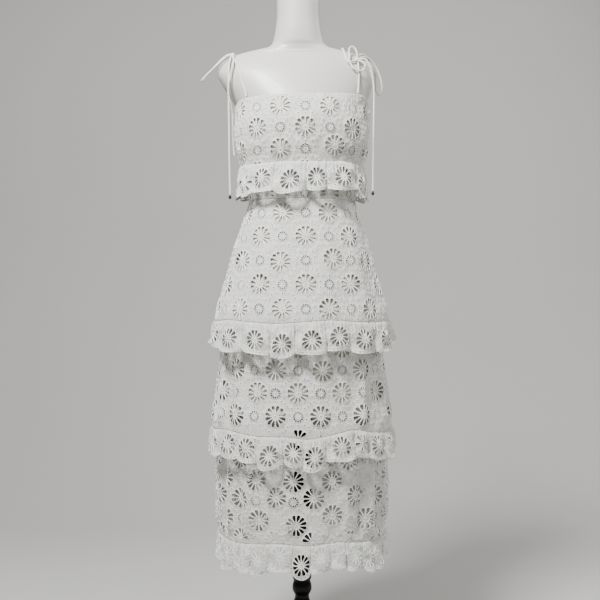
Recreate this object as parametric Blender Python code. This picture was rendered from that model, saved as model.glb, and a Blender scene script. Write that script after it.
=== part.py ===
"""Tiered ruffle midi dress in cutwork lace, standing on a limbless dress form.

Metres, +Z up.  The origin is the middle of the round base's underside.  The
front of the dress faces -Y, and +X is the wearer's left, the right-hand side of
a picture taken from the front.

The dress is one smooth tube of rings.  Every piece of cloth is a thin wall laid
on that tube: u is the distance round a ring from centre front or centre back,
and z is the height, so a flower keeps its real size wherever it lies.
"""
import math
from collections import namedtuple

import bmesh
import bpy
import numpy as np
from mathutils import Vector
from mathutils.geometry import delaunay_2d_cdt

MM = 0.001

# Cloth sizes
LACE_WALL = 1.2 * MM
LINING_WALL = 1.0 * MM
SEAM_GAP = 0.3 * MM
LINING_EASE = 4.4 * MM       # lace middle to lining middle, away from the neck edge
LINING_NECK_EASE = 1.5 * MM  # the same at the neck edge, where they are sewn together
LINING_DROP = 4.0 * MM       # the lining's top below the lace's edge
EDGE_CLEAR = 4.0 * MM        # a side seam's points keep this far from the panel's corners
ROW_CLEAR = 8.0 * MM         # inner points keep this far from the panel's top and bottom
SLOPE_STEP = 0.004           # the dress's slope is read over this share, and these metres
MERGE_DISTANCE = 1e-7
SHARP_EDGE = math.radians(40)

# Heights of the edges and seams
NECK_Z = 1.320               # neck edge at centre front
NECK_TILT = 0.004            # the edge is this much higher at its +X corner
NECK_CORNER = 0.130          # half the straight neck edge, measured round the ring
UNDERARM_Z = 1.296
BACK_TOP_Z = 1.264
BACK_RISE = 0.45             # share of the half girth where the back's edge starts to rise
BUST_SEAM_Z = 1.166
WAIST_Z = 1.085
UPPER_SEAM_Z = 0.808
MIDDLE_SEAM_Z = 0.562
HEM_SEAM_Z = 0.322
LINING_HEM_Z = 0.600

# Heights at which the cloth has a row of points, besides its edges
BODICE_ROWS = (1.270, 1.222, BUST_SEAM_Z, 1.125)
UPPER_ROWS = (1.016, 0.946, 0.877)
MIDDLE_ROWS = (0.747, 0.685, 0.623)
LOWER_ROWS = (0.502, 0.442, 0.382)
HALF_COLUMNS = 12            # columns of points from one side seam to the other

# The dress, ring by ring: half its width, and its reach to the front and back
Section = namedtuple("Section", "z half_width front back")
DRESS_SQUARENESS = 2.3
DRESS = (
    Section(1.330, 0.1690, 0.1050, 0.1010),
    Section(1.296, 0.1580, 0.1190, 0.1060),
    Section(1.256, 0.1590, 0.1290, 0.1080),
    Section(1.209, 0.1555, 0.1270, 0.1080),
    Section(1.185, 0.1490, 0.1210, 0.1070),
    Section(1.140, 0.1360, 0.1110, 0.1040),
    Section(1.085, 0.1245, 0.1030, 0.1000),
    Section(1.044, 0.1365, 0.1130, 0.1110),
    Section(0.974, 0.1560, 0.1330, 0.1340),
    Section(0.903, 0.1750, 0.1520, 0.1560),
    Section(0.856, 0.1900, 0.1650, 0.1680),
    Section(0.808, 0.2030, 0.1770, 0.1780),
    Section(0.765, 0.1930, 0.1700, 0.1710),
    Section(0.720, 0.1880, 0.1680, 0.1690),
    Section(0.640, 0.1950, 0.1750, 0.1760),
    Section(0.562, 0.2080, 0.1900, 0.1900),
    Section(0.520, 0.2000, 0.1870, 0.1870),
    Section(0.457, 0.1940, 0.1860, 0.1860),
    Section(0.350, 0.1930, 0.1880, 0.1880),
    Section(0.240, 0.1930, 0.1880, 0.1880),
)

# The dress form, ring by ring: shift is how far the ring's middle lies along X
FormSection = namedtuple("FormSection", "z half_width front back shift")
FORM_SQUARENESS = 2.1
FORM = (
    FormSection(0.7600, 0.1150, 0.0880, 0.0980, 0.000),
    FormSection(0.7660, 0.1400, 0.1080, 0.1180, 0.000),
    FormSection(0.7820, 0.1520, 0.1180, 0.1300, 0.000),
    FormSection(0.8600, 0.1600, 0.1260, 0.1400, 0.000),
    FormSection(0.9200, 0.1530, 0.1220, 0.1340, 0.000),
    FormSection(0.9800, 0.1390, 0.1130, 0.1190, 0.000),
    FormSection(1.0400, 0.1190, 0.0960, 0.0960, 0.000),
    FormSection(1.0850, 0.1130, 0.0910, 0.0890, 0.000),
    FormSection(1.1400, 0.1220, 0.0980, 0.0930, 0.000),
    FormSection(1.1900, 0.1360, 0.1090, 0.0970, 0.000),
    FormSection(1.2450, 0.1470, 0.1200, 0.0990, 0.000),
    FormSection(1.2900, 0.1490, 0.1120, 0.0980, 0.000),
    FormSection(1.3250, 0.1600, 0.1000, 0.0960, -0.005),
    FormSection(1.3600, 0.1760, 0.0850, 0.0920, -0.011),
    FormSection(1.3850, 0.1835, 0.0730, 0.0850, -0.014),
    FormSection(1.4020, 0.1815, 0.0630, 0.0770, -0.014),
    FormSection(1.4160, 0.1700, 0.0540, 0.0680, -0.013),
    FormSection(1.4270, 0.1490, 0.0480, 0.0610, -0.012),
    FormSection(1.4370, 0.1160, 0.0450, 0.0570, -0.010),
    FormSection(1.4460, 0.0750, 0.0460, 0.0560, -0.008),
    FormSection(1.4570, 0.0620, 0.0490, 0.0560, -0.008),
    FormSection(1.4800, 0.0560, 0.0500, 0.0530, -0.008),
    FormSection(1.5200, 0.0510, 0.0490, 0.0500, -0.008),
    FormSection(1.5960, 0.0500, 0.0490, 0.0490, -0.008),
    FormSection(1.6030, 0.0430, 0.0420, 0.0420, -0.008),
)
FORM_SIDES = 24

# The stand, as a turned outline
Turn = namedtuple("Turn", "z radius")
COLUMN_OUTLINE = (
    Turn(0.7597, 0.0230),
    Turn(0.2040, 0.0220),
    Turn(0.1990, 0.0190),
    Turn(0.1945, 0.0205),
    Turn(0.1870, 0.0225),
    Turn(0.1780, 0.0228),
    Turn(0.1710, 0.0200),
    Turn(0.1650, 0.0162),
    Turn(0.1570, 0.0168),
    Turn(0.1480, 0.0205),
    Turn(0.1250, 0.0240),
    Turn(0.0900, 0.0275),
    Turn(0.0600, 0.0370),
    Turn(0.0450, 0.0520),
    Turn(0.0380, 0.0600),
    Turn(0.0303, 0.0600),
)
COLUMN_SIDES = 16
BASE_OUTLINE = (
    Turn(0.0300, 0.1500),
    Turn(0.0270, 0.1660),
    Turn(0.0200, 0.1750),
    Turn(0.0030, 0.1780),
    Turn(0.0000, 0.1740),
)
BASE_SIDES = 28

# The lace flowers: twelve drop-shaped petals cut through round a small centre
PETALS = 12
PETAL_INNER = 9.0 * MM
PETAL_WIDEST = 18.5 * MM
PETAL_OUTER = 23.5 * MM
PETAL_HALF_WIDTH = 3.5 * MM
PETAL_END_HALF = 2.2 * MM
FLOWER_CLEAR = 27.0 * MM     # no other point of the wall lies nearer a flower's centre

# Where the cut flowers lie, as u and z on their panel
Flower = namedtuple("Flower", "u z")
BODICE_FLOWERS = (
    Flower(-0.049, 1.194),
    Flower(0.074, 1.202),
)
UPPER_FLOWERS = (
    Flower(0.008, 0.998),
    Flower(-0.048, 0.940),
    Flower(0.070, 0.948),
)
MIDDLE_FLOWERS = (
    Flower(-0.100, 0.652),
    Flower(-0.009, 0.652),
    Flower(0.045, 0.700),
)
LOWER_FLOWERS = (
    Flower(-0.013, 0.367),
    Flower(-0.019, 0.462),
    Flower(-0.057, 0.426),
    Flower(0.025, 0.425),
    Flower(-0.096, 0.375),
    Flower(0.066, 0.388),
    Flower(0.121, 0.428),
)
LOWER_BACK_FLOWERS = (
    Flower(-0.055, 0.420),
    Flower(0.060, 0.400),
)

# Ruffle folds: where each trough lies, as u, and how far the flute after it stands out.
# The last trough's fullness isn't read: the half flutes at the side seams are plain, so
# that the front and the back meet there.  A ruffle's drops are its lengths below its seam,
# and ridge, side_ridge and trough are how far its flutes and troughs stand out.
Fold = namedtuple("Fold", "u fullness")
Ruffle = namedtuple(
    "Ruffle", "seam_z front_drop side_drop back_drop ridge side_ridge trough front back")
BUST_FOLDS = (
    Fold(-0.190, 0.8), Fold(-0.152, 0.9), Fold(-0.116, 1.0), Fold(-0.062, 1.1),
    Fold(0.010, 0.9), Fold(0.053, 1.1), Fold(0.128, 0.9), Fold(0.180, 0.8),
)
BUST_BACK_FOLDS = (
    Fold(-0.172, 0.9), Fold(-0.120, 1.0), Fold(-0.055, 0.9),
    Fold(0.005, 1.1), Fold(0.062, 0.9), Fold(0.118, 1.0), Fold(0.176, 0.8),
)
UPPER_FOLDS = (
    Fold(-0.258, 0.9), Fold(-0.198, 1.0), Fold(-0.133, 1.1), Fold(-0.069, 1.0),
    Fold(-0.015, 1.1), Fold(0.054, 0.8), Fold(0.106, 1.0), Fold(0.167, 1.1),
    Fold(0.240, 0.9),
)
UPPER_BACK_FOLDS = (
    Fold(-0.262, 0.9), Fold(-0.196, 1.1), Fold(-0.138, 0.9), Fold(-0.066, 1.0),
    Fold(-0.004, 0.9), Fold(0.063, 1.1), Fold(0.120, 0.8), Fold(0.190, 1.0),
    Fold(0.256, 0.9),
)
MIDDLE_FOLDS = (
    Fold(-0.268, 0.9), Fold(-0.196, 0.9), Fold(-0.146, 0.9), Fold(-0.098, 1.0),
    Fold(-0.040, 0.9), Fold(0.002, 1.2), Fold(0.052, 1.0), Fold(0.115, 0.8),
    Fold(0.152, 0.9), Fold(0.204, 1.0), Fold(0.266, 0.9),
)
MIDDLE_BACK_FOLDS = (
    Fold(-0.272, 0.9), Fold(-0.214, 1.0), Fold(-0.150, 1.1), Fold(-0.094, 0.9),
    Fold(-0.032, 1.0), Fold(0.026, 0.9), Fold(0.092, 1.1), Fold(0.148, 0.9),
    Fold(0.206, 1.0), Fold(0.268, 0.9),
)
HEM_FOLDS = (
    Fold(-0.262, 0.9), Fold(-0.205, 1.0), Fold(-0.148, 0.9), Fold(-0.114, 0.9),
    Fold(-0.073, 1.1), Fold(-0.022, 0.9), Fold(0.018, 1.0), Fold(0.062, 0.9),
    Fold(0.096, 1.0), Fold(0.133, 0.9), Fold(0.170, 1.0), Fold(0.212, 0.9),
    Fold(0.264, 0.9),
)
HEM_BACK_FOLDS = (
    Fold(-0.266, 0.9), Fold(-0.216, 1.0), Fold(-0.160, 1.1), Fold(-0.108, 0.9),
    Fold(-0.060, 1.0), Fold(-0.006, 0.9), Fold(0.044, 1.1), Fold(0.098, 0.9),
    Fold(0.152, 1.0), Fold(0.204, 0.9), Fold(0.262, 0.9),
)
RUFFLES = {
    "bust_ruffle": Ruffle(BUST_SEAM_Z, 0.073, 0.079, 0.073, 0.016, 0.009, 0.003,
                          BUST_FOLDS, BUST_BACK_FOLDS),
    "ruffle_upper": Ruffle(UPPER_SEAM_Z, 0.074, 0.050, 0.070, 0.018, 0.013, 0.002,
                           UPPER_FOLDS, UPPER_BACK_FOLDS),
    "ruffle_middle": Ruffle(MIDDLE_SEAM_Z, 0.066, 0.042, 0.062, 0.018, 0.009, 0.002,
                            MIDDLE_FOLDS, MIDDLE_BACK_FOLDS),
    "ruffle_hem": Ruffle(HEM_SEAM_Z, 0.066, 0.044, 0.062, 0.016, 0.007, 0.001,
                         HEM_FOLDS, HEM_BACK_FOLDS),
}
FLUTE_COLUMNS = (0.0, 0.2, 0.5, 0.8)   # share of the way across a flute
HALF_FLUTE = (0.0, 0.35, 0.7)          # the same from a side seam to the first trough
RUFFLE_ROWS = (0.0, 0.4, 1.0)          # share of the way down
RUFFLE_SWELL = 0.75                    # the flutes open quickly below the seam
FLUTE_ROUNDNESS = 0.8                  # the lower, the broader a flute's crest
SIDE_POWER = 3                         # the higher, the nearer the side its sizes change
SCALLOP = 9.0 * MM                     # how much lower a flute's hem is than a trough's
RUFFLE_EASE = 0.5 * MM                 # room for the seam's thickness under a ruffle
RUFFLE_LIFT = LACE_WALL + SEAM_GAP + RUFFLE_EASE   # its middle to the lace's, at the seam

# Straps and ties
CORD = 4.0 * MM
CORD_STEP = 3 * CORD
CORD_BEVELS = 2
ROUTE_SAMPLES = 16           # points between two of a route's own, before they are evened out
KNOT_RADIUS = 5.5 * MM
SMALL_KNOT_RADIUS = 4.5 * MM
KNOT_GAP = 0.4 * MM
SEATING_ROUNDS = 4           # the seat and the cord's slope there settle in this many
BEAD_RADIUS = 3.4 * MM
BEAD_LENGTH = 9.5 * MM
BEAD_SIDES = 8
BeadTurn = namedtuple("BeadTurn", "down girth")
BEAD_OUTLINE = (             # shares of the bead's length and radius
    BeadTurn(0.0, 0.55),
    BeadTurn(0.25, 1.0),
    BeadTurn(0.75, 1.0),
    BeadTurn(1.0, 0.5),
)

Knot = namedtuple("Knot", "centre radius")
KNOTS = {
    "knot_left": Knot((-0.1606, -0.0300, 1.4245), KNOT_RADIUS),
    "knot_right": Knot((0.1275, -0.0440, 1.4100), KNOT_RADIUS),
    "knot_right_small": Knot((0.1088, -0.0527, 1.4028), SMALL_KNOT_RADIUS),
}
# The knot at each end of each cord, where it has one
CORD_ENDS = {
    "strap_front_left": (None, "knot_left"),
    "strap_back_left": ("knot_left", None),
    "strap_front_right": (None, "knot_right"),
    "strap_link_right": ("knot_right_small", "knot_right"),
    "strap_back_right": ("knot_right_small", None),
    "tie_left_long": ("knot_left", None),
    "tie_left_short": ("knot_left", None),
    "loop_left": ("knot_left", "knot_left"),
    "tie_right_long": ("knot_right", None),
    "loop_right_up": ("knot_right_small", "knot_right"),
    "loop_right_ring": ("knot_right_small", "knot_right"),
    "loop_right_outer": ("knot_right", "knot_right"),
}

# Cord straps, through points chosen by eye, from the neck edge to the knots and on
# over the shoulders to the back's edge
STRAPS = {
    "strap_front_left": (
        (-0.1262, -0.0782, 1.3178), (-0.1300, -0.0735, 1.3330), (-0.1350, -0.0674, 1.3480),
        (-0.1430, -0.0600, 1.3765), (-0.1530, -0.0445, 1.4055), (-0.1587, -0.0321, 1.4192),
    ),
    "strap_back_left": (
        (-0.1606, -0.0248, 1.4276), (-0.1600, -0.0120, 1.4305), (-0.1598, 0.0000, 1.4310),
        (-0.1590, 0.0200, 1.4282), (-0.1573, 0.0345, 1.4233), (-0.1546, 0.0540, 1.4060),
        (-0.1436, 0.0680, 1.3647), (-0.1350, 0.0700, 1.3420), (-0.1265, 0.0705, 1.3190),
        (-0.1130, 0.0765, 1.2900), (-0.1045, 0.0850, 1.2750), (-0.1005, 0.0893, 1.2666),
    ),
    "strap_front_right": (
        (0.1265, -0.0776, 1.3256), (0.1280, -0.0705, 1.3400), (0.1300, -0.0590, 1.3590),
        (0.1305, -0.0522, 1.3809), (0.1293, -0.0440, 1.4043),
    ),
    "strap_link_right": (
        (0.1131, -0.0507, 1.4045), (0.1224, -0.0464, 1.4080),
    ),
    "strap_back_right": (
        (0.1046, -0.0504, 1.4042), (0.1005, -0.0440, 1.4180), (0.0960, -0.0320, 1.4350),
        (0.0940, -0.0150, 1.4430), (0.0935, 0.0000, 1.4450), (0.0935, 0.0160, 1.4440),
        (0.0940, 0.0310, 1.4400), (0.0960, 0.0500, 1.4260), (0.0995, 0.0680, 1.3980),
        (0.1022, 0.0745, 1.3757), (0.1046, 0.0765, 1.3300), (0.1035, 0.0780, 1.3000),
        (0.1015, 0.0840, 1.2780), (0.1005, 0.0893, 1.2662),
    ),
}

# Free cords: bow loops and hanging ends
TIES = {
    "tie_left_long": (
        (-0.1642, -0.0335, 1.4214), (-0.1668, -0.0400, 1.4110), (-0.1680, -0.0450, 1.3950),
        (-0.1690, -0.0475, 1.3750), (-0.1692, -0.0475, 1.3500), (-0.1690, -0.0465, 1.3100),
        (-0.1685, -0.0455, 1.2600), (-0.1680, -0.0450, 1.2100), (-0.1672, -0.0445, 1.1500),
        (-0.1660, -0.0440, 1.0985),
    ),
    "tie_left_short": (
        (-0.1598, -0.0354, 1.4221), (-0.1580, -0.0440, 1.4110), (-0.1590, -0.0510, 1.3960),
        (-0.1650, -0.0550, 1.3720), (-0.1687, -0.0565, 1.3500), (-0.1695, -0.0560, 1.3340),
        (-0.1662, -0.0525, 1.3150), (-0.1624, -0.0450, 1.2990), (-0.1608, -0.0380, 1.2830),
        (-0.1612, -0.0340, 1.2510), (-0.1592, -0.0330, 1.2120), (-0.1566, -0.0330, 1.1890),
    ),
    "loop_left": (
        (-0.1653, -0.0273, 1.4270), (-0.1760, -0.0220, 1.4250), (-0.1880, -0.0170, 1.4165),
        (-0.2040, -0.0140, 1.4020), (-0.2210, -0.0120, 1.3850), (-0.2340, -0.0115, 1.3700),
        (-0.2360, -0.0150, 1.3655), (-0.2295, -0.0190, 1.3705), (-0.2130, -0.0210, 1.3880),
        (-0.1960, -0.0240, 1.4040), (-0.1800, -0.0290, 1.4170), (-0.1661, -0.0318, 1.4257),
    ),
    "tie_right_long": (
        (0.1331, -0.0446, 1.4118), (0.1458, -0.0450, 1.4110), (0.1530, -0.0450, 1.4020),
        (0.1597, -0.0450, 1.3850), (0.1632, -0.0450, 1.3650), (0.1655, -0.0450, 1.3420),
        (0.1658, -0.0450, 1.3070), (0.1652, -0.0450, 1.2650), (0.1645, -0.0450, 1.2260),
        (0.1638, -0.0450, 1.1700), (0.1632, -0.0450, 1.1070),
    ),
    "loop_right_up": (
        (0.1088, -0.0519, 1.4077), (0.1088, -0.0455, 1.4210), (0.1088, -0.0400, 1.4350),
        (0.1150, -0.0375, 1.4425), (0.1235, -0.0385, 1.4360), (0.1270, -0.0415, 1.4250),
        (0.1275, -0.0440, 1.4160),
    ),
    "loop_right_ring": (
        (0.1111, -0.0559, 1.3998), (0.1165, -0.0595, 1.3890), (0.1250, -0.0595, 1.3835),
        (0.1350, -0.0575, 1.3815), (0.1430, -0.0540, 1.3880), (0.1445, -0.0520, 1.3980),
        (0.1380, -0.0520, 1.4040), (0.1314, -0.0475, 1.4070),
    ),
    "loop_right_outer": (
        (0.1306, -0.0397, 1.4128), (0.1440, -0.0240, 1.4210), (0.1600, -0.0060, 1.4195),
        (0.1750, 0.0040, 1.4020), (0.1850, 0.0080, 1.3780), (0.1880, 0.0100, 1.3560),
        (0.1835, 0.0130, 1.3415), (0.1760, 0.0160, 1.3450), (0.1745, 0.0180, 1.3700),
        (0.1730, 0.0160, 1.3920), (0.1645, 0.0090, 1.4110), (0.1500, -0.0060, 1.4270),
        (0.1360, -0.0240, 1.4270), (0.1259, -0.0397, 1.4140),
    ),
}

Finish = namedtuple("Finish", "colour roughness metallic")
LACE = Finish((0.86, 0.86, 0.83, 1.0), 0.85, 0.0)
LINING = Finish((0.84, 0.83, 0.80, 1.0), 0.70, 0.0)
TIE = Finish((0.80, 0.79, 0.75, 1.0), 0.75, 0.0)
FORM_WHITE = Finish((0.80, 0.80, 0.78, 1.0), 0.45, 0.0)
BLACK_WOOD = Finish((0.015, 0.014, 0.014, 1.0), 0.30, 0.0)
BEAD_DARK = Finish((0.03, 0.025, 0.022, 1.0), 0.35, 0.0)


def remove_all_objects():
    """Empty the scene."""
    for obj in list(bpy.data.objects):
        bpy.data.objects.remove(obj)


def material(name, finish):
    """A plain Principled material."""
    made = bpy.data.materials.new(name)
    made.use_nodes = True
    shader = made.node_tree.nodes["Principled BSDF"]
    shader.inputs["Base Color"].default_value = finish.colour
    shader.inputs["Roughness"].default_value = finish.roughness
    shader.inputs["Metallic"].default_value = finish.metallic
    return made


def add_object(name, data, finish):
    """Link new data to the scene as an object with its own material."""
    obj = bpy.data.objects.new(name, data)
    obj.data.materials.append(material(name, finish))
    bpy.context.scene.collection.objects.link(obj)


def mesh_object(name, points, faces, finish):
    """An object from points and faces, with its faces turned outwards."""
    mesh = bpy.data.meshes.new(name)
    mesh.from_pydata([tuple(p) for p in points], [], faces)
    work = bmesh.new()
    work.from_mesh(mesh)
    bmesh.ops.recalc_face_normals(work, faces=work.faces)
    bmesh.ops.triangulate(work, faces=work.faces)
    work.to_mesh(mesh)
    work.free()
    mesh.shade_smooth()
    mesh.set_sharp_from_angle(angle=SHARP_EDGE)
    add_object(name, mesh, finish)


def column_of(table, name, z):
    """One column of a section table at height z, on a smooth curve through its rows."""
    rows = sorted(table, key=lambda row: row.z)
    heights = [row.z for row in rows]
    values = [getattr(row, name) for row in rows]
    z = min(max(z, heights[0]), heights[-1])
    i = min(max(int(np.searchsorted(heights, z)) - 1, 0), len(rows) - 2)
    step = heights[i + 1] - heights[i]
    t = (z - heights[i]) / step
    slope_in = end_slope(heights, values, i) * step
    slope_out = end_slope(heights, values, i + 1) * step
    return ((2 * t**3 - 3 * t**2 + 1) * values[i] + (t**3 - 2 * t**2 + t) * slope_in
            + (3 * t**2 - 2 * t**3) * values[i + 1] + (t**3 - t**2) * slope_out)


def end_slope(heights, values, i):
    """Slope of the smooth curve at row i, flat where the rows turn back."""
    if i == 0 or i == len(heights) - 1:
        j = min(i, len(heights) - 2)
        return (values[j + 1] - values[j]) / (heights[j + 1] - heights[j])
    before = (values[i] - values[i - 1]) / (heights[i] - heights[i - 1])
    after = (values[i + 1] - values[i]) / (heights[i + 1] - heights[i])
    if before * after <= 0:
        return 0.0
    return 2 * before * after / (before + after)


def half_ring(z, back, samples=121):
    """The front or back half of the dress's ring at height z, from -X to +X.

    Returns x, y and the distance along it from its middle.
    """
    half_width = column_of(DRESS, "half_width", z)
    depth = column_of(DRESS, "back" if back else "front", z)
    angle = np.linspace(-math.pi / 2, math.pi / 2, samples)
    power = 2 / DRESS_SQUARENESS
    x = half_width * np.sign(np.sin(angle)) * np.abs(np.sin(angle)) ** power
    y = depth * np.abs(np.cos(angle)) ** power
    if not back:
        y = -y
    along = np.concatenate([[0.0], np.cumsum(np.hypot(np.diff(x), np.diff(y)))])
    return x, y, along - along[-1] / 2


RING_CACHE = {}


def ring_at(z, back):
    """half_ring, remembered for the heights that many points share."""
    key = (round(z, 6), back)
    if key not in RING_CACHE:
        RING_CACHE[key] = half_ring(z, back)
    return RING_CACHE[key]


def half_girth(z, back):
    """Distance round the ring from centre front or back to the side seam."""
    return ring_at(z, back)[2][-1]


def on_ring(share, z, back):
    """The point at a share of the half girth, -1 to 1, on the ring at height z."""
    x, y, along = ring_at(z, back)
    u = share * along[-1]
    return Vector((np.interp(u, along, x), np.interp(u, along, y), z))


def on_dress(share, z, back, out=0.0):
    """A point of the dress, moved out along the surface's normal."""
    if abs(share) > 1 - SLOPE_STEP:
        across = Vector((0.0, math.copysign(1.0, share), 0.0))
    else:
        across = on_ring(share + SLOPE_STEP, z, back) - on_ring(share - SLOPE_STEP, z, back)
        across *= -1 if back else 1
    upward = on_ring(share, z + SLOPE_STEP, back) - on_ring(share, z - SLOPE_STEP, back)
    return on_ring(share, z, back) + across.cross(upward).normalized() * out


def flower_petals(flower):
    """The outlines of one flower's cut petals, as (u, z) points."""
    outlines = []
    for i in range(PETALS):
        turn = 2 * math.pi * (i + 0.5) / PETALS
        along = (math.cos(turn), math.sin(turn))
        side = (-along[1], along[0])
        shape = (
            (PETAL_INNER, 0.0),
            (PETAL_WIDEST, PETAL_HALF_WIDTH),
            (PETAL_OUTER, PETAL_END_HALF),
            (PETAL_OUTER, -PETAL_END_HALF),
            (PETAL_WIDEST, -PETAL_HALF_WIDTH),
        )
        outlines.append([(flower.u + r * along[0] + w * side[0],
                          flower.z + r * along[1] + w * side[1]) for r, w in shape])
    return outlines


def inside(point, outline):
    """Whether a point lies in a convex outline."""
    sign = 0
    for (x0, y0), (x1, y1) in zip(outline, outline[1:] + outline[:1]):
        turn = (x1 - x0) * (point[1] - y0) - (y1 - y0) * (point[0] - x0)
        if turn * sign < 0:
            return False
        sign = sign or (1 if turn > 0 else -1)
    return True


def panel(name, back, top, bottom, heights, flowers):
    """A wall of lace between a top and a bottom edge, with its flowers cut through.

    top and bottom give the edge's height for a share of the half girth.
    """
    shares = np.linspace(-1, 1, HALF_COLUMNS + 1)

    def place(share, z):
        edge = half_girth(z, back) - SEAM_GAP / 2
        return (share * edge, z)

    sides = [z for z in heights if bottom(1.0) + EDGE_CLEAR < z < top(1.0) - EDGE_CLEAR]
    border = [place(s, bottom(s)) for s in shares]
    border += [place(1.0, z) for z in sorted(sides)]
    border += [place(s, top(s)) for s in shares[::-1]]
    border += [place(-1.0, z) for z in sorted(sides, reverse=True)]
    flat = list(border)
    edges = [(i, (i + 1) % len(border)) for i in range(len(border))]
    petals = [p for flower in flowers for p in flower_petals(flower)]
    for outline in petals:
        start = len(flat)
        flat += outline
        edges += [(start + i, start + (i + 1) % len(outline)) for i in range(len(outline))]
    for flower in flowers:
        flat.append((flower.u, flower.z))
    for z in heights:
        for s in shares[1:-1]:
            if not bottom(s) + ROW_CLEAR < z < top(s) - ROW_CLEAR:
                continue
            u, _ = place(s, z)
            if all(math.hypot(u - f.u, z - f.z) > FLOWER_CLEAR for f in flowers):
                flat.append((u, z))
    found = delaunay_2d_cdt([Vector(p) for p in flat], edges, [list(range(len(border)))], 1,
                            MERGE_DISTANCE)
    points, triangles = found[0], found[2]
    kept = []
    for triangle in triangles:
        middle = sum((points[i] for i in triangle), Vector((0.0, 0.0))) / 3
        if not any(inside(middle, outline) for outline in petals):
            kept.append(tuple(triangle))
    places = [share_of(p, back) for p in points]
    outer = [on_dress(s, z, back, LACE_WALL / 2) for s, z in places]
    inner = [on_dress(s, z, back, -LACE_WALL / 2) for s, z in places]
    thick_object(name, outer, inner, kept, LACE)


def share_of(point, back):
    """A flat (u, z) point as (share of the half girth, z)."""
    return (point[0] / half_girth(point[1], back), point[1])


def thick_object(name, outer, inner, faces, finish):
    """Two like skins, joined round every open edge into one closed body."""
    count = len(outer)
    edges = {pair for face in faces for pair in zip(face, face[1:] + face[:1])}
    rim = sorted((a, b) for a, b in edges if (b, a) not in edges)
    solid = [tuple(face) for face in faces]
    solid += [tuple(count + i for i in reversed(face)) for face in faces]
    solid += [(b, a, count + a, count + b) for a, b in rim]
    mesh_object(name, outer + inner, solid, finish)


def level(z):
    """An edge at one height."""
    return lambda share: z


def eased(t):
    """0 to 1, with level ends."""
    t = min(max(t, 0.0), 1.0)
    return t * t * (3 - 2 * t)


def front_neck(share):
    """The straight neck edge, then down each armhole to the side seam."""
    corner = NECK_CORNER / half_girth(NECK_Z, False)
    neck = NECK_Z + NECK_TILT * min(max(share / corner, -1.0), 1.0)
    past = (abs(share) - corner) / (1 - corner)
    return neck + (UNDERARM_Z - neck) * eased(past)


def back_neck(share):
    """The back's top edge, rising to the side seams."""
    risen = eased((abs(share) - BACK_RISE) / (1 - BACK_RISE))
    return BACK_TOP_Z + (UNDERARM_Z - BACK_TOP_Z) * risen


def bodice():
    """Front and back bodice, neck edge to waist."""
    waist = level(WAIST_Z + SEAM_GAP / 2)
    panel("bodice_front", False, front_neck, waist, BODICE_ROWS, BODICE_FLOWERS)
    panel("bodice_back", True, back_neck, waist, BODICE_ROWS, ())


def skirt_tier(name, top_z, bottom_z, rows, flowers, back_flowers=()):
    """One tier of the skirt, front and back."""
    for side, back, cut in (("front", False, flowers), ("back", True, back_flowers)):
        panel(f"{name}_{side}", back, level(top_z - SEAM_GAP / 2),
              level(bottom_z + SEAM_GAP / 2), rows, cut)


def fold_height(folds, edge, u):
    """How far a ruffle stands out at u: 0 in a trough, about 1 on a flute."""
    places = [fold.u for fold in folds]
    i = int(np.searchsorted(places, u, side="right")) - 1
    full = 1.0
    if i < 0:
        t = 0.5 + 0.5 * (u + edge) / (places[0] + edge)
    elif i == len(folds) - 1:
        t = 0.5 * (u - places[i]) / (edge - places[i])
    else:
        t = (u - places[i]) / (places[i + 1] - places[i])
        full = folds[i].fullness
    return full * max(math.sin(math.pi * t), 0.0) ** FLUTE_ROUNDNESS


def fold_columns(folds, edge):
    """The distances u at which a ruffle has a column of points."""
    knots = [fold.u for fold in folds]
    places = [-edge + (knots[0] + edge) * t for t in HALF_FLUTE]
    for start, end in zip(knots, knots[1:]):
        places += [start + (end - start) * t for t in FLUTE_COLUMNS]
    places += [knots[-1]]
    places += [edge - (edge - knots[-1]) * t for t in reversed(HALF_FLUTE)]
    return places


def outward(share, z, back):
    """Level direction out of the dress."""
    normal = on_dress(share, z, back, 1.0) - on_dress(share, z, back, 0.0)
    return Vector((normal.x, normal.y, 0.0)).normalized()


def ruffle_half(name, ruffle, back):
    """One gathered strip, front or back, sewn on along its top edge."""
    folds = ruffle.back if back else ruffle.front
    edge = half_girth(ruffle.seam_z, back)
    middle_drop = ruffle.back_drop if back else ruffle.front_drop
    places = fold_columns(folds, edge)
    outer = []
    inner = []
    for u in places:
        share = u / edge
        kept = max(-1 + SEAM_GAP / 2 / edge, min(1 - SEAM_GAP / 2 / edge, share))
        out = outward(kept, ruffle.seam_z, back)
        full = fold_height(folds, edge, u)
        sideways = abs(share) ** SIDE_POWER
        drop = middle_drop + (ruffle.side_drop - middle_drop) * sideways
        ridge = ruffle.ridge + (ruffle.side_ridge - ruffle.ridge) * sideways
        for t in RUFFLE_ROWS:
            swell = t ** RUFFLE_SWELL
            reach = RUFFLE_LIFT + swell * (ruffle.trough + (ridge - ruffle.trough) * full)
            base = on_ring(kept, ruffle.seam_z, back)
            down = t * (drop - SCALLOP * (1 - min(full, 1.0)))
            middle = base + out * reach - Vector((0.0, 0.0, down))
            outer.append(middle + out * LACE_WALL / 2)
            inner.append(middle - out * LACE_WALL / 2)
    thick_object(name, outer, inner, strip_faces(len(places), len(RUFFLE_ROWS)), LACE)


def ruffles():
    """The four gathered ruffles."""
    for name, ruffle in RUFFLES.items():
        ruffle_half(f"{name}_front", ruffle, False)
        ruffle_half(f"{name}_back", ruffle, True)


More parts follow.
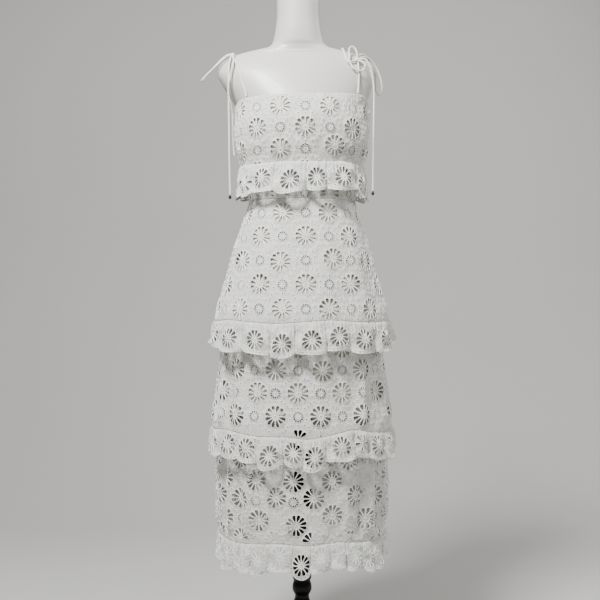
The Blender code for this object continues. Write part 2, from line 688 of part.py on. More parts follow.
def lining_half(name, back):
    """Front or back of the plain lining inside the lace, neck edge to the second tier."""
    neck = back_neck if back else front_neck
    lower = (BODICE_ROWS[1:] + (WAIST_Z,) + UPPER_ROWS + (UPPER_SEAM_Z,) + MIDDLE_ROWS
             + (LINING_HEM_Z,))
    outer = []
    inner = []
    for share in np.linspace(-1, 1, HALF_COLUMNS + 1):
        top = neck(share) - LINING_DROP
        first = min(BODICE_ROWS[0], top - LINING_DROP)
        for z in (top, first) + lower:
            ease = LINING_NECK_EASE if z == top else LINING_EASE
            kept = share * (1 - SEAM_GAP / 2 / half_girth(z, back))
            outer.append(on_dress(kept, z, back, LINING_WALL / 2 - ease))
            inner.append(on_dress(kept, z, back, -LINING_WALL / 2 - ease))
    thick_object(name, outer, inner, strip_faces(HALF_COLUMNS + 1, len(lower) + 2), LINING)


def strip_faces(columns, rows):
    """Four-sided faces between columns of points, each column listed from its top."""
    faces = []
    for i in range(columns - 1):
        for j in range(rows - 1):
            a = i * rows + j
            faces.append((a, a + 1, a + rows + 1, a + rows))
    return faces


def lining():
    """The lining's front and back."""
    lining_half("lining_front", False)
    lining_half("lining_back", True)


def form_ring(z, sides):
    """Points round the dress form at height z."""
    half_width = column_of(FORM, "half_width", z)
    front = column_of(FORM, "front", z)
    back = column_of(FORM, "back", z)
    shift = column_of(FORM, "shift", z)
    power = 2 / FORM_SQUARENESS
    points = []
    for i in range(sides):
        angle = 2 * math.pi * i / sides
        sine, cosine = math.sin(angle), math.cos(angle)
        x = shift + half_width * math.copysign(abs(cosine) ** power, cosine)
        y = (back if sine > 0 else front) * math.copysign(abs(sine) ** power, sine)
        points.append((x, y, z))
    return points


def stacked_rings(name, rings, finish):
    """A closed solid through a stack of like rings."""
    sides = len(rings[0])
    points = [p for ring in rings for p in ring]
    faces = [tuple(range(sides)), tuple(reversed(range(len(points) - sides, len(points))))]
    for j in range(len(rings) - 1):
        for i in range(sides):
            a = j * sides + i
            b = j * sides + (i + 1) % sides
            faces.append((a, b, b + sides, a + sides))
    mesh_object(name, points, faces, finish)


def dress_form():
    """The limbless form: hips, bust, shoulders and neck in one smooth body."""
    stacked_rings("form_torso", [form_ring(row.z, FORM_SIDES) for row in FORM], FORM_WHITE)


def turned(name, outline, sides, finish):
    """A turned solid from its outline."""
    rings = []
    for turn in outline:
        rings.append([(turn.radius * math.cos(2 * math.pi * i / sides),
                       turn.radius * math.sin(2 * math.pi * i / sides), turn.z)
                      for i in range(sides)])
    stacked_rings(name, rings, finish)


def stand():
    """Column and round base."""
    turned("stand_column", COLUMN_OUTLINE, COLUMN_SIDES, BLACK_WOOD)
    turned("stand_base", BASE_OUTLINE, BASE_SIDES, BLACK_WOOD)


def smooth_route(points):
    """Points every CORD_STEP on a smooth curve through the route's own points."""
    fine = []
    count = len(points)
    vectors = [Vector(p) for p in points]
    for i in range(count - 1):
        before = vectors[max(i - 1, 0)]
        start, end = vectors[i], vectors[i + 1]
        after = vectors[min(i + 2, count - 1)]
        for k in range(ROUTE_SAMPLES):
            t = k / ROUTE_SAMPLES
            fine.append(0.5 * (2 * start + (end - before) * t
                               + (2 * before - 5 * start + 4 * end - after) * t**2
                               + (3 * start - before - 3 * end + after) * t**3))
    fine.append(vectors[-1])
    along = [0.0]
    for a, b in zip(fine, fine[1:]):
        along.append(along[-1] + (b - a).length)
    steps = max(2, round(along[-1] / CORD_STEP))
    wanted = np.linspace(0, along[-1], steps + 1)
    return [Vector([np.interp(w, along, [p[axis] for p in fine]) for axis in range(3)])
            for w in wanted]


def seated(route, item):
    """A route whose first point is moved to where its end face just clears a knot."""
    centre = Vector(item.centre)
    clear = item.radius + KNOT_GAP
    rim = CORD / 2
    out = (route[0] - centre).normalized()
    for _ in range(SEATING_ROUNDS):
        along = max(out.dot((route[1] - route[0]).normalized()), 0.0)
        tilt = math.sqrt(1 - along**2)
        reach = rim * tilt + math.sqrt(clear**2 - (rim * along) ** 2)
        route[0] = centre + out * max(clear, reach)
    return route


def cord_route(name, points):
    """A cord's points, with each end that meets a knot seated on it."""
    start, end = CORD_ENDS[name]
    route = smooth_route(points)
    if start:
        route = seated(route, KNOTS[start])
    if end:
        route = seated(route[::-1], KNOTS[end])[::-1]
    return route


def cord(name, points):
    """A round cord as a bevelled curve with closed ends."""
    curve = bpy.data.curves.new(name, "CURVE")
    curve.dimensions = "3D"
    curve.bevel_depth = CORD / 2
    curve.bevel_resolution = CORD_BEVELS
    curve.use_fill_caps = True
    curve.resolution_u = 1
    curve.render_resolution_u = 0
    route = cord_route(name, points)
    spline = curve.splines.new("POLY")
    spline.points.add(len(route) - 1)
    for item, point in zip(spline.points, route):
        item.co = (point.x, point.y, point.z, 1.0)
    add_object(name, curve, TIE)


def knot(name, item):
    """A small rounded knot."""
    work = bmesh.new()
    bmesh.ops.create_icosphere(work, subdivisions=2, radius=item.radius)
    for vert in work.verts:
        vert.co += Vector(item.centre)
    mesh = bpy.data.meshes.new(name)
    work.to_mesh(mesh)
    work.free()
    mesh.shade_smooth()
    add_object(name, mesh, TIE)


def bead(name, tie):
    """A turned bead on the end of a tie."""
    end = Vector(tie[-1])
    rings = []
    for turn in BEAD_OUTLINE:
        radius = turn.girth * BEAD_RADIUS
        z = end.z - SEAM_GAP - turn.down * BEAD_LENGTH
        rings.append([(end.x + radius * math.cos(2 * math.pi * i / BEAD_SIDES),
                       end.y + radius * math.sin(2 * math.pi * i / BEAD_SIDES), z)
                      for i in range(BEAD_SIDES)])
    stacked_rings(name, rings, BEAD_DARK)


def straps_and_ties():
    """Cord straps, their knots, the bow loops and the hanging ends with their beads."""
    for name, points in {**STRAPS, **TIES}.items():
        cord(name, points)
    for name, item in KNOTS.items():
        knot(name, item)
    bead("bead_left", TIES["tie_left_long"])
    bead("bead_right", TIES["tie_right_long"])


def build():
    """The whole part."""
    remove_all_objects()
    dress_form()
    stand()
    lining()
    bodice()
    skirt_tier("skirt_upper", WAIST_Z, UPPER_SEAM_Z, UPPER_ROWS, UPPER_FLOWERS)
    skirt_tier("skirt_middle", UPPER_SEAM_Z, MIDDLE_SEAM_Z, MIDDLE_ROWS, MIDDLE_FLOWERS)
    skirt_tier("skirt_lower", MIDDLE_SEAM_Z, HEM_SEAM_Z, LOWER_ROWS, LOWER_FLOWERS,
               LOWER_BACK_FLOWERS)
    ruffles()
    straps_and_ties()


build()
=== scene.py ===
"""Render scene of a tiered ruffle midi dress in cutwork lace on a limbless dress form.

Metres, +Z up, the dress's front faces -Y.  Cloth is laid out flat first: u is the
distance round the dress from centre front or centre back and z the height, or, on a
gathered strip, the distance along the strip and down from its seam.  Holes are cut and
satin-stitched there, and the flat lace is then laid on the dress.
"""

import logging
import math
from dataclasses import dataclass
from enum import Enum
from typing import Callable, Iterable, NamedTuple, Sequence

import bmesh
import bpy
import numpy as np
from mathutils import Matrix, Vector
from mathutils.geometry import delaunay_2d_cdt


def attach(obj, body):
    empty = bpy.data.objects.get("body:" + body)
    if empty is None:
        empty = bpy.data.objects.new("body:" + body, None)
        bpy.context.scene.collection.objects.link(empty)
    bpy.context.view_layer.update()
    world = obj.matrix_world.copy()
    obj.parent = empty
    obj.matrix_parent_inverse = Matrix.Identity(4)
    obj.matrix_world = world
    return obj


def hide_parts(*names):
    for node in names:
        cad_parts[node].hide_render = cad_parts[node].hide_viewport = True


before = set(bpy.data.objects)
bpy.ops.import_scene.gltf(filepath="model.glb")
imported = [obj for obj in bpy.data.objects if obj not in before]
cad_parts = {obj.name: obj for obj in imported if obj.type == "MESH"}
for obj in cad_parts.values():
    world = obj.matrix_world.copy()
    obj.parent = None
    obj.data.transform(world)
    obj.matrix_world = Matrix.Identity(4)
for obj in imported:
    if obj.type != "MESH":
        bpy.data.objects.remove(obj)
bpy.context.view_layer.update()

log = logging.getLogger("dress")

MM = 0.001
BODY = "root"


class Side(Enum):
    """Which half of the dress a piece belongs to."""

    FRONT = "front"
    BACK = "back"


class Layer(Enum):
    """Material slots of a lace mesh, in order."""

    GROUND = 0
    SATIN = 1


class Section(NamedTuple):
    """One ring of the dress: half its width, and its reach to the front and back."""

    z: float
    half_width: float
    front: float
    back: float


class FormSection(NamedTuple):
    """One ring of the dress form; shift is how far its middle lies along X."""

    z: float
    half_width: float
    front: float
    back: float
    shift: float


class Turn(NamedTuple):
    """One point of a turned outline."""

    z: float
    radius: float


class Fold(NamedTuple):
    """A ruffle's trough, as u, and the flute after it.

    The flute has how far it stands out, how far its crest leans along the seam, and how
    much longer than its neighbours it hangs.
    """

    u: float
    fullness: float
    lean: float = 0.0
    longer: float = 0.0


class Dip(NamedTuple):
    """A stretch of a seam that hangs lower than the rest, or higher where down is below 0."""

    u: float
    half_width: float
    down: float


class Flower(NamedTuple):
    """The middle of a flower, as u and z on its panel."""

    u: float
    z: float


class Crease(NamedTuple):
    """A soft upright fold of the skirt: its middle, span, half width and height."""

    u: float
    top: float
    bottom: float
    half_width: float
    out: float
    lean: float


class Knot(NamedTuple):
    """A knot's middle and radius."""

    centre: tuple[float, float, float]
    radius: float


NECK_Z = 1.320
NECK_TILT = 0.004
NECK_CORNER = 0.130
UNDERARM_Z = 1.296
BACK_TOP_Z = 1.264
BACK_RISE = 0.45
BUST_SEAM_Z = 1.166
WAIST_Z = 1.085
UPPER_SEAM_Z = 0.808
MIDDLE_SEAM_Z = 0.562
HEM_SEAM_Z = 0.322
LINING_HEM_Z = 0.600
SEAM_GAP = 0.3 * MM
LINING_EASE = 3.2 * MM
LINING_NECK_EASE = 1.5 * MM
LINING_DROP = 4.0 * MM

DRESS_SQUARENESS = 2.3
DRESS = tuple(Section(*row) for row in (
    (1.330, 0.1690, 0.1050, 0.1010), (1.296, 0.1580, 0.1190, 0.1060),
    (1.256, 0.1590, 0.1290, 0.1080), (1.209, 0.1555, 0.1270, 0.1080),
    (1.185, 0.1490, 0.1210, 0.1070), (1.140, 0.1360, 0.1110, 0.1040),
    (1.085, 0.1245, 0.1030, 0.1000), (1.044, 0.1365, 0.1130, 0.1110),
    (0.974, 0.1560, 0.1330, 0.1340), (0.903, 0.1750, 0.1520, 0.1560),
    (0.856, 0.1900, 0.1650, 0.1680), (0.808, 0.2030, 0.1770, 0.1780),
    (0.765, 0.1930, 0.1700, 0.1710), (0.720, 0.1880, 0.1680, 0.1690),
    (0.640, 0.1950, 0.1750, 0.1760), (0.562, 0.2080, 0.1900, 0.1900),
    (0.520, 0.2000, 0.1870, 0.1870), (0.457, 0.1940, 0.1860, 0.1860),
    (0.350, 0.1930, 0.1880, 0.1880), (0.240, 0.1930, 0.1880, 0.1880),
))

FORM_SQUARENESS = 2.1
FORM = tuple(FormSection(*row) for row in (
    (0.7600, 0.1150, 0.0880, 0.0980, 0.000), (0.7660, 0.1400, 0.1080, 0.1180, 0.000),
    (0.7820, 0.1520, 0.1180, 0.1300, 0.000), (0.8600, 0.1600, 0.1260, 0.1400, 0.000),
    (0.9200, 0.1530, 0.1220, 0.1340, 0.000), (0.9800, 0.1390, 0.1130, 0.1190, 0.000),
    (1.0400, 0.1190, 0.0960, 0.0960, 0.000), (1.0850, 0.1130, 0.0910, 0.0890, 0.000),
    (1.1400, 0.1220, 0.0980, 0.0930, 0.000), (1.1900, 0.1360, 0.1090, 0.0970, 0.000),
    (1.2450, 0.1470, 0.1200, 0.0990, 0.000), (1.2900, 0.1490, 0.1120, 0.0980, 0.000),
    (1.3250, 0.1600, 0.1000, 0.0960, -0.005), (1.3600, 0.1760, 0.0850, 0.0920, -0.011),
    (1.3850, 0.1835, 0.0730, 0.0850, -0.014), (1.4020, 0.1815, 0.0630, 0.0770, -0.014),
    (1.4160, 0.1700, 0.0540, 0.0680, -0.013), (1.4270, 0.1490, 0.0480, 0.0610, -0.012),
    (1.4370, 0.1160, 0.0450, 0.0570, -0.010), (1.4460, 0.0750, 0.0460, 0.0560, -0.008),
    (1.4570, 0.0620, 0.0490, 0.0560, -0.008), (1.4800, 0.0560, 0.0500, 0.0530, -0.008),
    (1.5200, 0.0510, 0.0490, 0.0500, -0.008), (1.5960, 0.0500, 0.0490, 0.0490, -0.008),
    (1.6030, 0.0430, 0.0420, 0.0420, -0.008),
))

COLUMN_OUTLINE = tuple(Turn(*row) for row in (
    (0.7597, 0.0230), (0.2040, 0.0220), (0.1990, 0.0190), (0.1945, 0.0205),
    (0.1870, 0.0225), (0.1780, 0.0228), (0.1710, 0.0200), (0.1650, 0.0162),
    (0.1570, 0.0168), (0.1480, 0.0205), (0.1250, 0.0240), (0.0900, 0.0275),
    (0.0600, 0.0370), (0.0450, 0.0520), (0.0380, 0.0600), (0.0303, 0.0600),
))
BASE_OUTLINE = tuple(Turn(*row) for row in (
    (0.0300, 0.1500), (0.0270, 0.1660), (0.0200, 0.1750), (0.0030, 0.1780),
    (0.0000, 0.1740),
))


def linear(hex_colour: str) -> tuple[float, float, float, float]:
    """Turn an sRGB hex colour into linear light.

    Args:
        hex_colour: six hex digits, such as "F2F0EA".

    Returns:
        Red, green, blue and alpha.
    """
    parts = [int(hex_colour[i:i + 2], 16) / 255 for i in (0, 2, 4)]
    lit = [p / 12.92 if p <= 0.04045 else ((p + 0.055) / 1.055) ** 2.4 for p in parts]
    return (lit[0], lit[1], lit[2], 1.0)


def add_node(tree: bpy.types.NodeTree, kind: str, settings: dict | None = None,
             **inputs: object) -> bpy.types.Node:
    """Add one node with its settings and links.

    Args:
        tree: the node tree that takes it.
        kind: the node's Blender type name.
        settings: attributes to set on the node.
        **inputs: values for its inputs by name, with _ for a space; a socket is linked.

    Returns:
        The new node.
    """
    node = tree.nodes.new(kind)
    for name, value in (settings or {}).items():
        setattr(node, name, value)
    for name, value in inputs.items():
        key = int(name[1:]) if name[0] == "i" and name[1:].isdigit() else name.replace("_", " ")
        if isinstance(value, bpy.types.NodeSocket):
            tree.links.new(value, node.inputs[key])
        else:
            node.inputs[key].default_value = value
    return node


def table_columns(rows: Sequence[tuple], z: np.ndarray) -> list[np.ndarray]:
    """Read every column of a section table on smooth curves through its rows.

    Args:
        rows: sections, whose first column is z.
        z: the heights to read.

    Returns:
        One array for each column after z.
    """
    table = np.array(sorted(rows), float)
    heights = table[:, 0]
    z = np.clip(z, heights[0], heights[-1])
    i = np.clip(np.searchsorted(heights, z) - 1, 0, len(heights) - 2)
    step = heights[i + 1] - heights[i]
    t = (z - heights[i]) / step
    columns = []
    for values in table.T[1:]:
        slopes = np.diff(values) / np.diff(heights)
        before, after = slopes[:-1], slopes[1:]
        total = np.where(np.abs(before + after) < 1e-12, 1.0, before + after)
        inner = np.where(before * after > 0, 2 * before * after / total, 0.0)
        slope = np.concatenate([slopes[:1], inner, slopes[-1:]])
        columns.append((2 * t**3 - 3 * t**2 + 1) * values[i]
                       + (t**3 - 2 * t**2 + t) * slope[i] * step
                       + (3 * t**2 - 2 * t**3) * values[i + 1]
                       + (t**3 - t**2) * slope[i + 1] * step)
    return columns


def eased(t: np.ndarray | float) -> np.ndarray:
    """0 to 1, with level ends."""
    t = np.clip(t, 0.0, 1.0)
    return t * t * (3 - 2 * t)


def blunted(wave: np.ndarray, power: float) -> np.ndarray:
    """A sine or a cosine raised to a power, with its sign kept."""
    return np.sign(wave) * np.abs(wave) ** power


def even_angles(count: int, start: float = 0.0) -> np.ndarray:
    """Even angles round a circle, the first a share of a step from 0."""
    return 2 * math.pi * (np.arange(count) + start) / count


def run_along(points: np.ndarray) -> np.ndarray:
    """Distance along a line of points, up to each of them."""
    steps = np.linalg.norm(np.diff(points, axis=0), axis=1)
    return np.concatenate([[0.0], np.cumsum(steps)])


def ripples(waves: Sequence[tuple[float, float, float]], across: np.ndarray,
            along: np.ndarray) -> np.ndarray:
    """Add up slanting waves.

    Args:
        waves: each wave's length across and along for one radian, and its phase.
        across: distances across the cloth.
        along: distances along the cloth.

    Returns:
        Their sum at each place, from -len(waves) to len(waves).
    """
    return sum(np.sin(across / wide + along / tall + phase) for wide, tall, phase in waves)


class DressTube:
    """The smooth tube that all the cloth is laid on, read from a fine grid of points."""

    HEIGHTS = np.linspace(0.232, 1.330, 367)
    SHARES = np.linspace(-1.0, 1.0, 241)
    ARC = np.linspace(-math.pi / 2, math.pi / 2, 721)

    def __init__(self) -> None:
        """Work out the grid's points and normals for both halves."""
        self.girth: dict[Side, np.ndarray] = {}
        self.points: dict[Side, np.ndarray] = {}
        self.normals: dict[Side, np.ndarray] = {}
        half_width, front, back = table_columns(DRESS, self.HEIGHTS)
        power = 2 / DRESS_SQUARENESS
        for side, depth in ((Side.FRONT, -front), (Side.BACK, back)):
            x = half_width[:, None] * blunted(np.sin(self.ARC), power)
            y = depth[:, None] * blunted(np.cos(self.ARC), power)
            run = np.concatenate([np.zeros((len(x), 1)),
                                  np.cumsum(np.hypot(np.diff(x), np.diff(y)), axis=1)], axis=1)
            run -= run[:, -1:] / 2
            grid = np.zeros((len(x), len(self.SHARES), 3))
            for row in range(len(x)):
                u = self.SHARES * run[row, -1]
                grid[row, :, 0] = np.interp(u, run[row], x[row])
                grid[row, :, 1] = np.interp(u, run[row], y[row])
            grid[:, :, 2] = self.HEIGHTS[:, None]
            across = np.gradient(grid, axis=1)
            # The tube's halves meet square on, so the side seams have no fold.
            for end in (0, -1):
                across[:, end] = (0.0, math.copysign(1.0, across[0, end, 1]), 0.0)
            normal = np.cross(across, np.gradient(grid, axis=0))
            normal *= np.sign(np.sum(normal[:, :, :2] * grid[:, :, :2], axis=2))[:, :, None]
            self.girth[side] = run[:, -1]
            self.points[side] = grid
            self.normals[side] = normal / np.linalg.norm(normal, axis=2, keepdims=True)

    def half_girth(self, z: np.ndarray | float, side: Side) -> np.ndarray:
        """Distance round from centre front or back to the side seam at height z."""
        return np.interp(z, self.HEIGHTS, self.girth[side])

    def read(self, u: np.ndarray, z: np.ndarray, side: Side) -> tuple[np.ndarray, np.ndarray]:
        """Read points and normals of the tube.

        Args:
            u: distances round from centre front or back.
            z: heights.
            side: the half of the dress.

        Returns:
            Points and outward unit normals.
        """
        z = np.clip(z, self.HEIGHTS[0], self.HEIGHTS[-1])
        share = np.clip(u / self.half_girth(z, side), -1, 1)
        i = np.interp(z, self.HEIGHTS, np.arange(len(self.HEIGHTS)))
        j = np.interp(share, self.SHARES, np.arange(len(self.SHARES)))
        i0 = np.clip(i.astype(int), 0, len(self.HEIGHTS) - 2)
        j0 = np.clip(j.astype(int), 0, len(self.SHARES) - 2)
        a, b = (i - i0)[:, None], (j - j0)[:, None]
        found = []
        for grid in (self.points[side], self.normals[side]):
            found.append((1 - a) * (1 - b) * grid[i0, j0] + (1 - a) * b * grid[i0, j0 + 1]
                         + a * (1 - b) * grid[i0 + 1, j0] + a * b * grid[i0 + 1, j0 + 1])
        normal = found[1] / np.linalg.norm(found[1], axis=1, keepdims=True)
        return found[0], normal


TUBE = DressTube()


def front_neck(u: np.ndarray) -> np.ndarray:
    """The front's top edge: straight across, then down each armhole to the side seam."""
    neck = NECK_Z + NECK_TILT * np.clip(u / NECK_CORNER, -1, 1)
    edge = TUBE.half_girth(NECK_Z, Side.FRONT)
    return neck + (UNDERARM_Z - neck) * eased((np.abs(u) - NECK_CORNER) / (edge - NECK_CORNER))


def back_neck(u: np.ndarray) -> np.ndarray:
    """The back's top edge, rising to the side seams."""
    share = np.abs(u) / TUBE.half_girth(BACK_TOP_Z, Side.BACK)
    return BACK_TOP_Z + (UNDERARM_Z - BACK_TOP_Z) * eased((share - BACK_RISE) / (1 - BACK_RISE))


@dataclass(frozen=True)
class Finish:
    """A surface: its colours and how it takes the light.

    Attributes:
        name: the material's name.
        colour: sRGB hex of the plain surface.
        shade: sRGB hex that its slow variation runs to.
        roughness: 0 smooth to 1 matt.
        sheen: strength of the soft edge glow of fibres.
        coat: strength of a clear lacquer.
        shine: strength of its own highlight, 0.5 as glass has it.
        patch: size in metres of its slow variation.
        relief: height in metres of its fine relief.
        pitch: size in metres of its fine relief.
        woven: whether the relief is a plain weave rather than a grain.
    """

    name: str
    colour: str
    shade: str
    roughness: float
    sheen: float = 0.0
    coat: float = 0.0
    shine: float = 0.5
    patch: float = 0.06
    relief: float = 0.0
    pitch: float = 1.0 * MM
    woven: bool = False

    def material(self) -> bpy.types.Material:
        """Make the material, or find it if it is there.

        Returns:
            A node material that reads Object coordinates.
        """
        known = bpy.data.materials.get(self.name)
        if known:
            return known
        made = bpy.data.materials.new(self.name)
        made.use_nodes = True
        tree = made.node_tree
        shader = tree.nodes["Principled BSDF"]
        place = add_node(tree, "ShaderNodeTexCoord").outputs["Object"]
        slow = add_node(tree, "ShaderNodeTexNoise", Vector=place, Scale=1 / self.patch, Detail=3.0)
        blend = add_node(tree, "ShaderNodeMix", {"data_type": "RGBA"}, Factor=slow.outputs["Fac"],
                         i6=linear(self.colour), i7=linear(self.shade))
        tree.links.new(blend.outputs[2], shader.inputs["Base Color"])
        rough = add_node(tree, "ShaderNodeMapRange", Value=slow.outputs["Fac"],
                         To_Min=self.roughness - 0.06, To_Max=min(self.roughness + 0.06, 1.0))
        tree.links.new(rough.outputs["Result"], shader.inputs["Roughness"])
        shader.inputs["Sheen Weight"].default_value = self.sheen
        shader.inputs["Sheen Roughness"].default_value = 0.5
        shader.inputs["Coat Weight"].default_value = self.coat
        shader.inputs["Specular IOR Level"].default_value = self.shine
        if self.relief:
            self._add_relief(tree, place, shader)
        return made

    def _add_relief(self, tree: bpy.types.NodeTree, place: bpy.types.NodeSocket,
                    shader: bpy.types.Node) -> None:
        """Give the material its weave or its grain.

        Args:
            tree: the material's node tree.
            place: the coordinates it is read at.
            shader: the Principled node that takes the normal.
        """
        if self.woven:
            turns = 2 * math.pi / self.pitch
            split = add_node(tree, "ShaderNodeSeparateXYZ", Vector=place)
            waves = []
            for axis in ("X", "Y", "Z"):
                scaled = add_node(tree, "ShaderNodeMath", {"operation": "MULTIPLY"},
                                  i0=split.outputs[axis], i1=turns)
                waves.append(add_node(tree, "ShaderNodeMath", {"operation": "SINE"},
                                      i0=scaled.outputs[0]).outputs[0])
            level = add_node(tree, "ShaderNodeMath", {"operation": "ADD"}, i0=waves[0], i1=waves[1])
            height = add_node(tree, "ShaderNodeMath", {"operation": "MULTIPLY"},
                              i0=level.outputs[0], i1=waves[2]).outputs[0]
        else:
            height = add_node(tree, "ShaderNodeTexNoise", Vector=place, Scale=1 / self.pitch,
                              Detail=4.0).outputs["Fac"]
        bump = add_node(tree, "ShaderNodeBump", Height=height, Distance=self.relief, Strength=0.6)
        tree.links.new(bump.outputs["Normal"], shader.inputs["Normal"])


# Cotton lawn stitched over in fine thread: matt, with a faint fibre glow, and mottled at the
# 5 mm of the stitching.  Its 0.3 mm threads would not show, so the weave is drawn at 1.6 mm.
GROUND_COTTON = Finish("cotton_ground_stitched_over", "F6F5EF", "9A9992", 0.88, sheen=0.12,
                       patch=5.0 * MM, relief=0.3 * MM, pitch=1.6 * MM, woven=True)
# Mercerised cotton thread in satin stitch: whiter and smoother than the ground.
SATIN_THREAD = Finish("cotton_thread_satin_stitched", "FAFAF6", "F1F1EB", 0.62, sheen=0.2,
                      patch=0.03, relief=0.2 * MM, pitch=1.0 * MM)
# Cotton voile lining: plain, thin and a little warmer.  Its colour is painted darker than the cloth
# itself, as painted shade for the lining seen through the holes in the shadow of the lace.
SHADED_LINING_VOILE = Finish("cotton_voile_lining_painted_shade", "C8C5BC", "BDBAB0", 0.9, sheen=0.05,
                      relief=0.15 * MM, pitch=1.4 * MM, woven=True)
# Cotton rouleau cord: bias-cut tube turned through, matt with a soft seam.
CORD_COTTON = Finish("cotton_rouleau_cord", "E6E4DC", "D2CFC4", 0.8, sheen=0.15,
                     patch=0.01, relief=0.2 * MM, pitch=1.2 * MM)
# Glass-fibre form sprayed with satin white: smooth, with a low wide highlight.
FORM_PAINT = Finish("glass_fibre_sprayed_satin_white", "BFBDB7", "B8B6B0", 0.42, coat=0.05,
                    patch=0.15, relief=0.05 * MM, pitch=3.0 * MM)
# Turned beech with black lacquer: deep black, with a clear coat's narrow highlight.
BLACK_LACQUER = Finish("beech_turned_black_lacquer", "050404", "080707", 0.36, coat=0.05,
                       shine=0.15, patch=0.05, relief=0.06 * MM, pitch=2.0 * MM)
# Turned dark wood bead: close grain and a waxed shine.
DARK_BEAD = Finish("dark_wood_bead_waxed", "1B1512", "2E231D", 0.36, coat=0.25,
                   patch=0.003, relief=0.05 * MM, pitch=0.8 * MM)
# Painted studio board: matt and pale.
PALE_BOARD = Finish("studio_board_matt_pale", "C4C3C0", "BEBDBA", 0.95, patch=0.6)


def mesh_piece(name: str, points: np.ndarray, faces: np.ndarray | Sequence[Sequence[int]],
               finishes: Sequence[Finish], slots: np.ndarray | None = None,
               smooth: bool = True) -> bpy.types.Object:
    """Make a mesh object at the origin.

    Args:
        name: the piece's name.
        points: vertex positions in metres.
        faces: vertex numbers of each face.
        finishes: its materials.
        slots: each face's material, by number.
        smooth: whether it is shaded smooth.

    Returns:
        The new object, linked to the scene.
    """
    mesh = bpy.data.meshes.new(name)
    mesh.from_pydata(np.asarray(points, float).tolist(), [],
                     faces.tolist() if isinstance(faces, np.ndarray) else list(faces))
    for finish in finishes:
        mesh.materials.append(finish.material())
    if slots is not None:
        mesh.polygons.foreach_set("material_index", np.asarray(slots, np.int32))
    mesh.polygons.foreach_set("use_smooth", np.full(len(mesh.polygons), smooth))
    mesh.update()
    obj = bpy.data.objects.new(name, mesh)
    bpy.context.scene.collection.objects.link(obj)
    return obj


def settle(obj: bpy.types.Object, slot: str, *nodes: str) -> bpy.types.Object:
    """Ride the piece on the dress, and let it stand for its solids.

    Args:
        obj: the piece.
        slot: the record's material slot.
        *nodes: the solids it replaces.

    Returns:
        The same piece.
    """
    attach(obj, BODY)
    if nodes:
        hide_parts(*nodes)
    log.info("%s: %d faces, slot %s, stands for %s", obj.name, len(obj.data.polygons), slot,
             ", ".join(nodes) or "no solid of its own")
    return obj


class Ring(NamedTuple):
    """One hole of the lace: its edge, and how wide and high its stitching stands."""

    edge: np.ndarray
    width: float
    height: float


